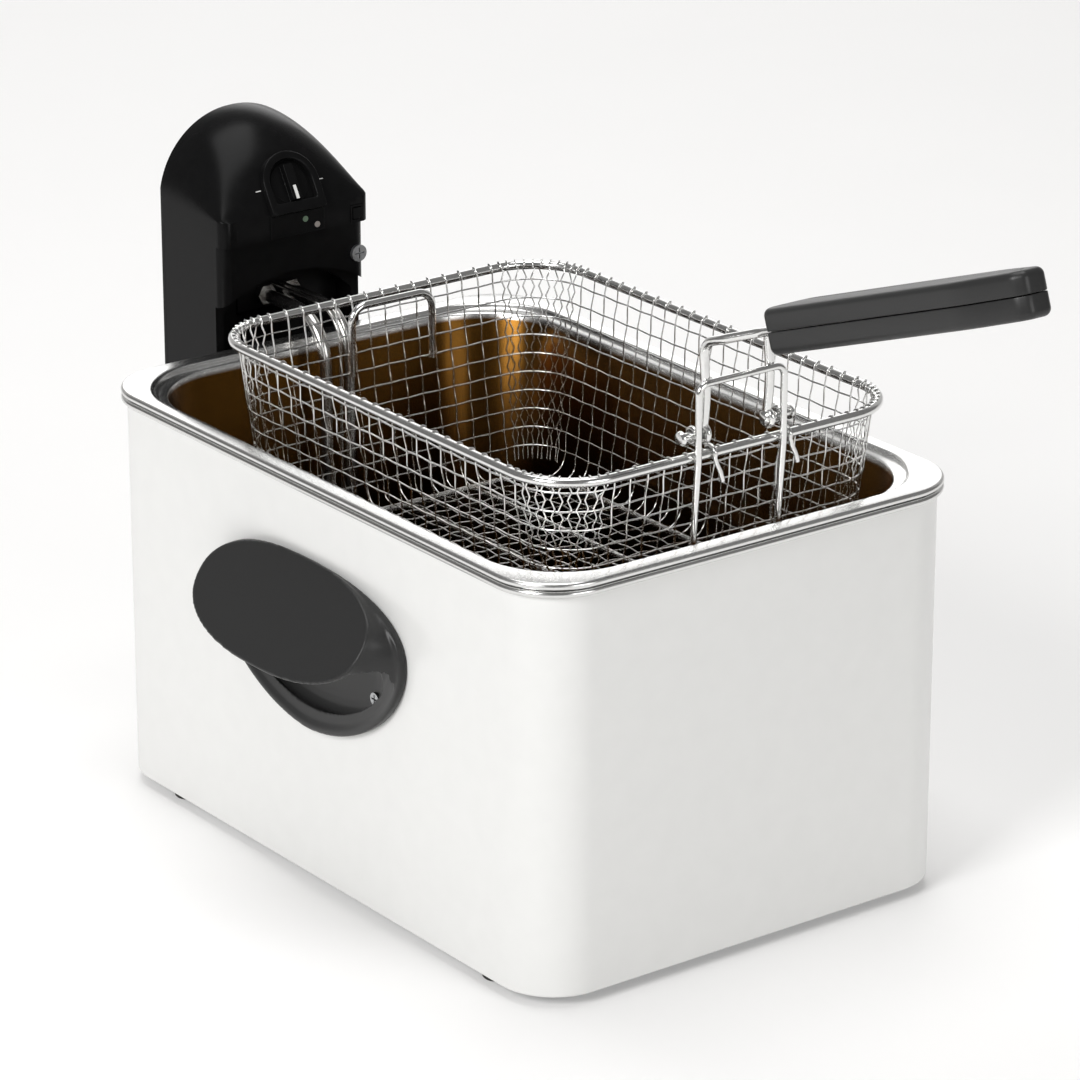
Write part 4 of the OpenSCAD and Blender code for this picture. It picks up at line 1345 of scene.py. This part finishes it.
    def rim(self) -> bpy.types.Object:
        """Makes the thick wire round the basket's mouth."""
        ring = rounded_ring(self.rim_x, self.rim_y, self.rim_corner, self.rim_z)
        path = [p + Vector((0, self.mid_y, 0)) for p in ring]
        return Shape().tube(path, self.rim_r, 20, closed=True).build("rim_wire", 60)

    def bottom_frame(self) -> bpy.types.Object:
        """Makes the wire frame under the floor: one ring and three long wires."""
        frame_z = 136.65 * MM
        ring = rounded_ring(80 * MM, 116 * MM, 24 * MM, frame_z)
        shape = Shape().tube([p + Vector((0, self.mid_y, 0)) for p in ring], 1.8 * MM, 14, closed=True)
        for x in (-40, 0, 40):
            ends = [Vector((x * MM, self.mid_y + y * MM, frame_z)) for y in (-116, 116)]
            shape.tube(ends, 1.4 * MM, 12)
        return shape.build("bottom_wires", 60)

    def hook(self) -> bpy.types.Object:
        """Makes the bent wire inside the rear wall that hangs the basket on the head."""
        low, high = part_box("rear_hook")
        y = (low.y + high.y) / 2
        wire = (high.y - low.y) / 2
        path = bent_path(Vector((low.x + wire, y, low.z)), Vector((0, 0, 1)), Vector((1, 0, 0)),
                         [(26 * MM, 8 * MM, 90, 0), (high.x - low.x - 2 * wire - 16 * MM, 8 * MM, 90, 0),
                          (26 * MM, MM, 0, 0)])
        return Shape().tube(path, wire, 16).build("hook_wire", 60)

    def bracket(self) -> bpy.types.Object:
        """Makes the bracket: a stop bar, two legs down the front, two toes and two eyes.

        Returns:
            The bracket as one piece.
        """
        wire = 1.6 * MM
        lean = math.radians(4.5)
        run = (273 - 5 - 30 - 136.65 - 30 * math.sin(lean) - 12 * (1 - math.sin(lean))) / math.cos(lean)
        steps = [(19, 5, 90, 0), (30, 30, 4.5, 90), (run, 12, 85.5, 0), (3.3, 1, 0, 0)]
        half = bent_path(Vector((0, -161.6, 273)) * MM, Vector((1, 0, 0)), Vector((0, 0, -1)),
                         [(far * MM, radius * MM, angle, roll) for far, radius, angle, roll in steps])
        shape = Shape().tube(mirrored(half, -1)[:0:-1] + half, wire, 16)
        for x in (-24, 24):
            shape.tube(pivot_eye(x * MM, 3.35 * MM), 1.25 * MM, 12, closed=True)
        return shape.build("bracket_wire", 60)

    def tabs(self) -> bpy.types.Object:
        """Makes the two short bent tabs that grip the rim beside the bracket's legs."""
        shape = Shape()
        front = self.mid_y - self.rim_y
        far = self.rim_r + 1.15 * MM
        for x in (-14.0, 28.5):
            path = [Vector((x * MM, front - far * math.cos(a), self.rim_z + far * math.sin(a)))
                    for a in arc(150, -20, 10)]
            path += [Vector(((x + 0.8) * MM, front - far + 0.2 * MM, self.rim_z - 4 * MM)),
                     Vector(((x + 2.2) * MM, front - far - 0.9 * MM, self.rim_z - 8 * MM)),
                     Vector(((x + 3.4) * MM, front - far - 1.1 * MM, self.rim_z - 12.5 * MM))]
            shape.tube(path, 1.1 * MM, 12)
        return shape.build("rim_tabs", 60)

    def pins(self) -> bpy.types.Object:
        """Makes the two pivot pins, each with a domed head at both ends."""
        shape = Shape()
        inner_end = 15.0 * MM
        profile = [
            (0.8, 0.0), (2.4, 0.2), (3.2, 0.9), (3.2, 1.6), (2.0, 2.0),
            (2.0, 14.2), (3.4, 14.4), (3.4, 15.2), (2.6, 16.2), (1.0, 16.5),
        ]
        span = (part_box("pivot_pins")[1].x - inner_end) / profile[-1][1]
        for side in (-1, 1):
            start = Vector((side * inner_end, PIVOT_Y, PIVOT_Z))
            shape.lathe([(r * MM, far * span) for r, far in profile], start, Vector((side, 0, 0)), 28)
        return shape.build("pin_heads", 40)

    def build(self) -> None:
        """Builds and dresses the basket."""
        wire = Finishes.PLATED_WIRE
        dress(self.mesh(), wire, Body.BASKET, "basket_mesh")
        dress(self.rim(), wire, Body.BASKET, "basket_rim")
        dress(self.bottom_frame(), wire, Body.BASKET, "basket_bottom_frame")
        dress(self.hook(), wire, Body.BASKET, "rear_hook")
        dress(self.bracket(), wire, Body.BASKET, "handle_bracket")
        dress(self.tabs(), wire, Body.BASKET)


@dataclass
class BasketHandle:
    """The folding handle: two bent arms and a grip in two halves.

    Attributes:
        tilt: how far the grip rises to its end, in degrees.
        heel: where the grip starts, on its seam.
        thick: thickness of each half.
    """

    tilt: float = 19.7
    heel: tuple[float, float, float] = (0.0, -192 * MM, 303 * MM)
    thick: float = 10.3 * MM

    def arms(self) -> bpy.types.Object:
        """Makes the two arms, each with an eye for its pivot pin.

        Returns:
            The arms as one piece.
        """
        shape = Shape()
        steps = [(32.4, 9, 90 - self.tilt, 0), (4, 10, 30, -90), (13.6, 10, 30, 180), (70, 1, 0, 0)]
        half = bent_path(Vector((18, -157.5, 251.9)) * MM, Vector((0, 0, 1)), Vector((0, -1, 0)),
                         [(far * MM, radius * MM, angle, roll) for far, radius, angle, roll in steps])
        start, end = half[0], half[1]
        path = []
        for k in range(11):
            bow = 1.3 * MM * math.sin(math.pi * k / 10)
            path.append(start.lerp(end, k / 10) - Vector((0, bow, 0)))
        path += half[2:]
        for side in (-1, 1):
            shape.tube(mirrored(path, side), 2.2 * MM, 16)
            shape.tube(pivot_eye(side * 18 * MM, 3.6 * MM), 1.5 * MM, 12, closed=True)
        return shape.build("arm_wires", 60)

    def outline(self, inset: float) -> list[tuple[float, float]]:
        """Makes the grip's plan with rounded corners.

        Args:
            inset: how far the outline is drawn inwards.

        Returns:
            Pairs of place along the grip and across it.
        """
        far_side = [(0.0, 8.5), (5.0, 15.5), (137.0, 15.5), (163.5, 9.0), (168.0, 5.0)]
        corners = far_side + [(x, -y) for x, y in reversed(far_side)]
        radii = [5, 5, 18, 4, 4]
        points = []
        for k, (x, y) in enumerate(corners):
            before, after = Vector(corners[k - 1]), Vector(corners[(k + 1) % len(corners)])
            here = Vector((x, y))
            radius = (radii + radii[::-1])[k]
            a, b = (before - here).normalized(), (after - here).normalized()
            cut = min(radius * 0.5, (before - here).length * 0.45, (after - here).length * 0.45)
            for step in range(7):
                t = step / 6
                p = (here + a * cut) * (1 - t) ** 2 + here * 2 * t * (1 - t) + (here + b * cut) * t**2
                points.append(p)
        middle = Vector((84.0, 0.0))
        moved = []
        for k, p in enumerate(points):
            along = (points[(k + 1) % len(points)] - points[k - 1]).normalized()
            normal = Vector((-along.y, along.x))
            if normal.dot(middle - p) < 0:
                normal = -normal
            moved.append(tuple((p + normal * inset / MM) * MM))
        return moved

    def half_grip(self, side: int, name: str) -> bpy.types.Object:
        """Makes one half of the grip.

        Args:
            side: 1 for the upper half, -1 for the lower one.
            name: name of the piece.

        Returns:
            The half.
        """
        tilt = math.radians(self.tilt)
        along = Vector((0, -math.cos(tilt), math.sin(tilt)))
        up = Vector((0, math.sin(tilt), math.cos(tilt))) * side
        heel = Vector(self.heel)
        soft = 3.4 * MM
        levels = [(0.5 * MM, 0.2 * MM), (0.12 * MM, 0.35 * MM), (0.0, 0.8 * MM)]
        levels += [(soft * (1 - math.cos(a)), self.thick - soft + soft * math.sin(a)) for a in arc(0, 80, 8)]
        levels += [(soft * 1.6, self.thick + 0.05 * MM), (soft * 2.6, self.thick + 0.15 * MM)]
        rings = []
        for inset, height in levels:
            rings.append([heel + along * x + Vector((y, 0, 0)) + up * height for x, y in self.outline(inset)])
        return Shape().rings(rings).build(name, 50)

    def build(self) -> None:
        """Builds and dresses the handle."""
        dress(self.arms(), Finishes.PLATED_WIRE, Body.HANDLE, "handle_frame")
        dress(self.half_grip(1, "grip_top"), Finishes.GREY_PLASTIC, Body.HANDLE, "grip_upper")
        dress(self.half_grip(-1, "grip_underside"), Finishes.GREY_PLASTIC, Body.HANDLE, "grip_lower")
        paint(Finishes.ZINC, "grip_screws")


# ---------- studio ----------


@dataclass
class Studio:
    """The pale floor, the soft lights and the camera."""

    turn: float = -36.73
    lift: float = 20.70
    camera_at: tuple[float, float, float] = (-1.3249, -1.7893, 0.9880)
    lens: float = 168.6

    def floor(self) -> None:
        """Makes the floor that sweeps up behind the fryer."""
        shape = Shape()
        half, reach, curve = 6.0, 3.0, 1.6
        sweep = [(reach + curve * math.sin(a), curve * (1 - math.cos(a))) for a in arc(0, 90, 16)]
        profile = [(-6.0, 0.0), *sweep, (reach + curve, 5.0)]
        turn = math.radians(self.turn)
        away = Vector((-math.sin(turn), math.cos(turn), 0))
        across = Vector((math.cos(turn), math.sin(turn), 0))
        for far, z in profile:
            middle = away * far + Vector((0, 0, z))
            shape.points += [middle - across * half, middle + across * half]
        shape.faces = [(2 * k, 2 * k + 1, 2 * k + 3, 2 * k + 2) for k in range(len(profile) - 1)]
        floor = shape.build("studio_floor")
        material = Finish("studio_floor", (0.80, 0.795, 0.79), 0.01, 0.0, 0.9, 0.02, 8.0, relief=0.0).build()
        surface = material.node_tree.nodes["Principled BSDF"]
        surface.inputs["Specular IOR Level"].default_value = 0.0
        surface.inputs["Emission Color"].default_value = (1.0, 0.995, 0.985, 1.0)
        surface.inputs["Emission Strength"].default_value = 0.17
        floor.data.materials.append(material)

    def light(
        self, name: str, at: tuple[float, float, float], size: tuple[float, float], power: float
    ) -> None:
        """Adds a soft box aimed at the fryer.

        Args:
            name: its name.
            at: its place.
            size: its width and height.
            power: its power in watts.
        """
        data = bpy.data.lights.new(name, "AREA")
        data.shape = "RECTANGLE"
        data.size, data.size_y, data.energy = *size, power
        lamp = bpy.data.objects.new(name, data)
        lamp.location = at
        aim = Vector((0, 0, 0.15)) - Vector(at)
        lamp.rotation_mode = "QUATERNION"
        lamp.rotation_quaternion = aim.to_track_quat("-Z", "Y")
        bpy.context.scene.collection.objects.link(lamp)

    def build(self) -> None:
        """Sets the floor, the lights, the world and the camera."""
        self.floor()
        self.light("key", (-2.8, -0.7, 1.9), (1.3, 1.3), 66)
        self.light("top", (0.1, 0.4, 2.8), (1.8, 1.8), 40)
        self.light("front", (0.3, -3.0, 1.1), (1.6, 1.2), 21)
        self.light("rear", (1.6, 2.4, 1.25), (2.0, 1.4), 13)
        world = bpy.data.worlds.new("studio")
        world.use_nodes = True
        sky = world.node_tree.nodes["Background"]
        sky.inputs["Color"].default_value = (1.0, 0.99, 0.98, 1.0)
        sky.inputs["Strength"].default_value = 0.20
        scene = bpy.context.scene
        scene.world = world
        scene.view_settings.view_transform = "Standard"
        data = bpy.data.cameras.new("camera")
        data.lens, data.sensor_width = self.lens, 36.0
        camera = bpy.data.objects.new("camera", data)
        turn, lift = math.radians(self.turn), math.radians(self.lift)
        back = Vector((math.sin(turn) * math.cos(lift), -math.cos(turn) * math.cos(lift), math.sin(lift)))
        camera.location = self.camera_at
        camera.rotation_mode = "QUATERNION"
        camera.rotation_quaternion = (-back).to_track_quat("-Z", "Y")
        scene.collection.objects.link(camera)
        scene.camera = camera


def main() -> None:
    """Builds the fryer piece by piece."""
    logging.basicConfig(level=logging.INFO, format="%(message)s")
    parts = (
        Casing(), CarryHandle(-1), CarryHandle(1), OilTank(), TopCover(), ControlHead(),
        HeatingSet(), FryBasket(), BasketHandle(), Studio(),
    )
    for part in parts:
        part.build()
        log.info("built %s", type(part).__name__)
    dress(FryBasket().pins(), Finishes.PLATED_WIRE, Body.HANDLE, "pivot_pins")
    dress(rounded_copy("carry_handle_screws", "pull_screws", 0.2 * MM), Finishes.ZINC, Body.CASING,
          "carry_handle_screws")


if __name__ == "__main__":
    main()
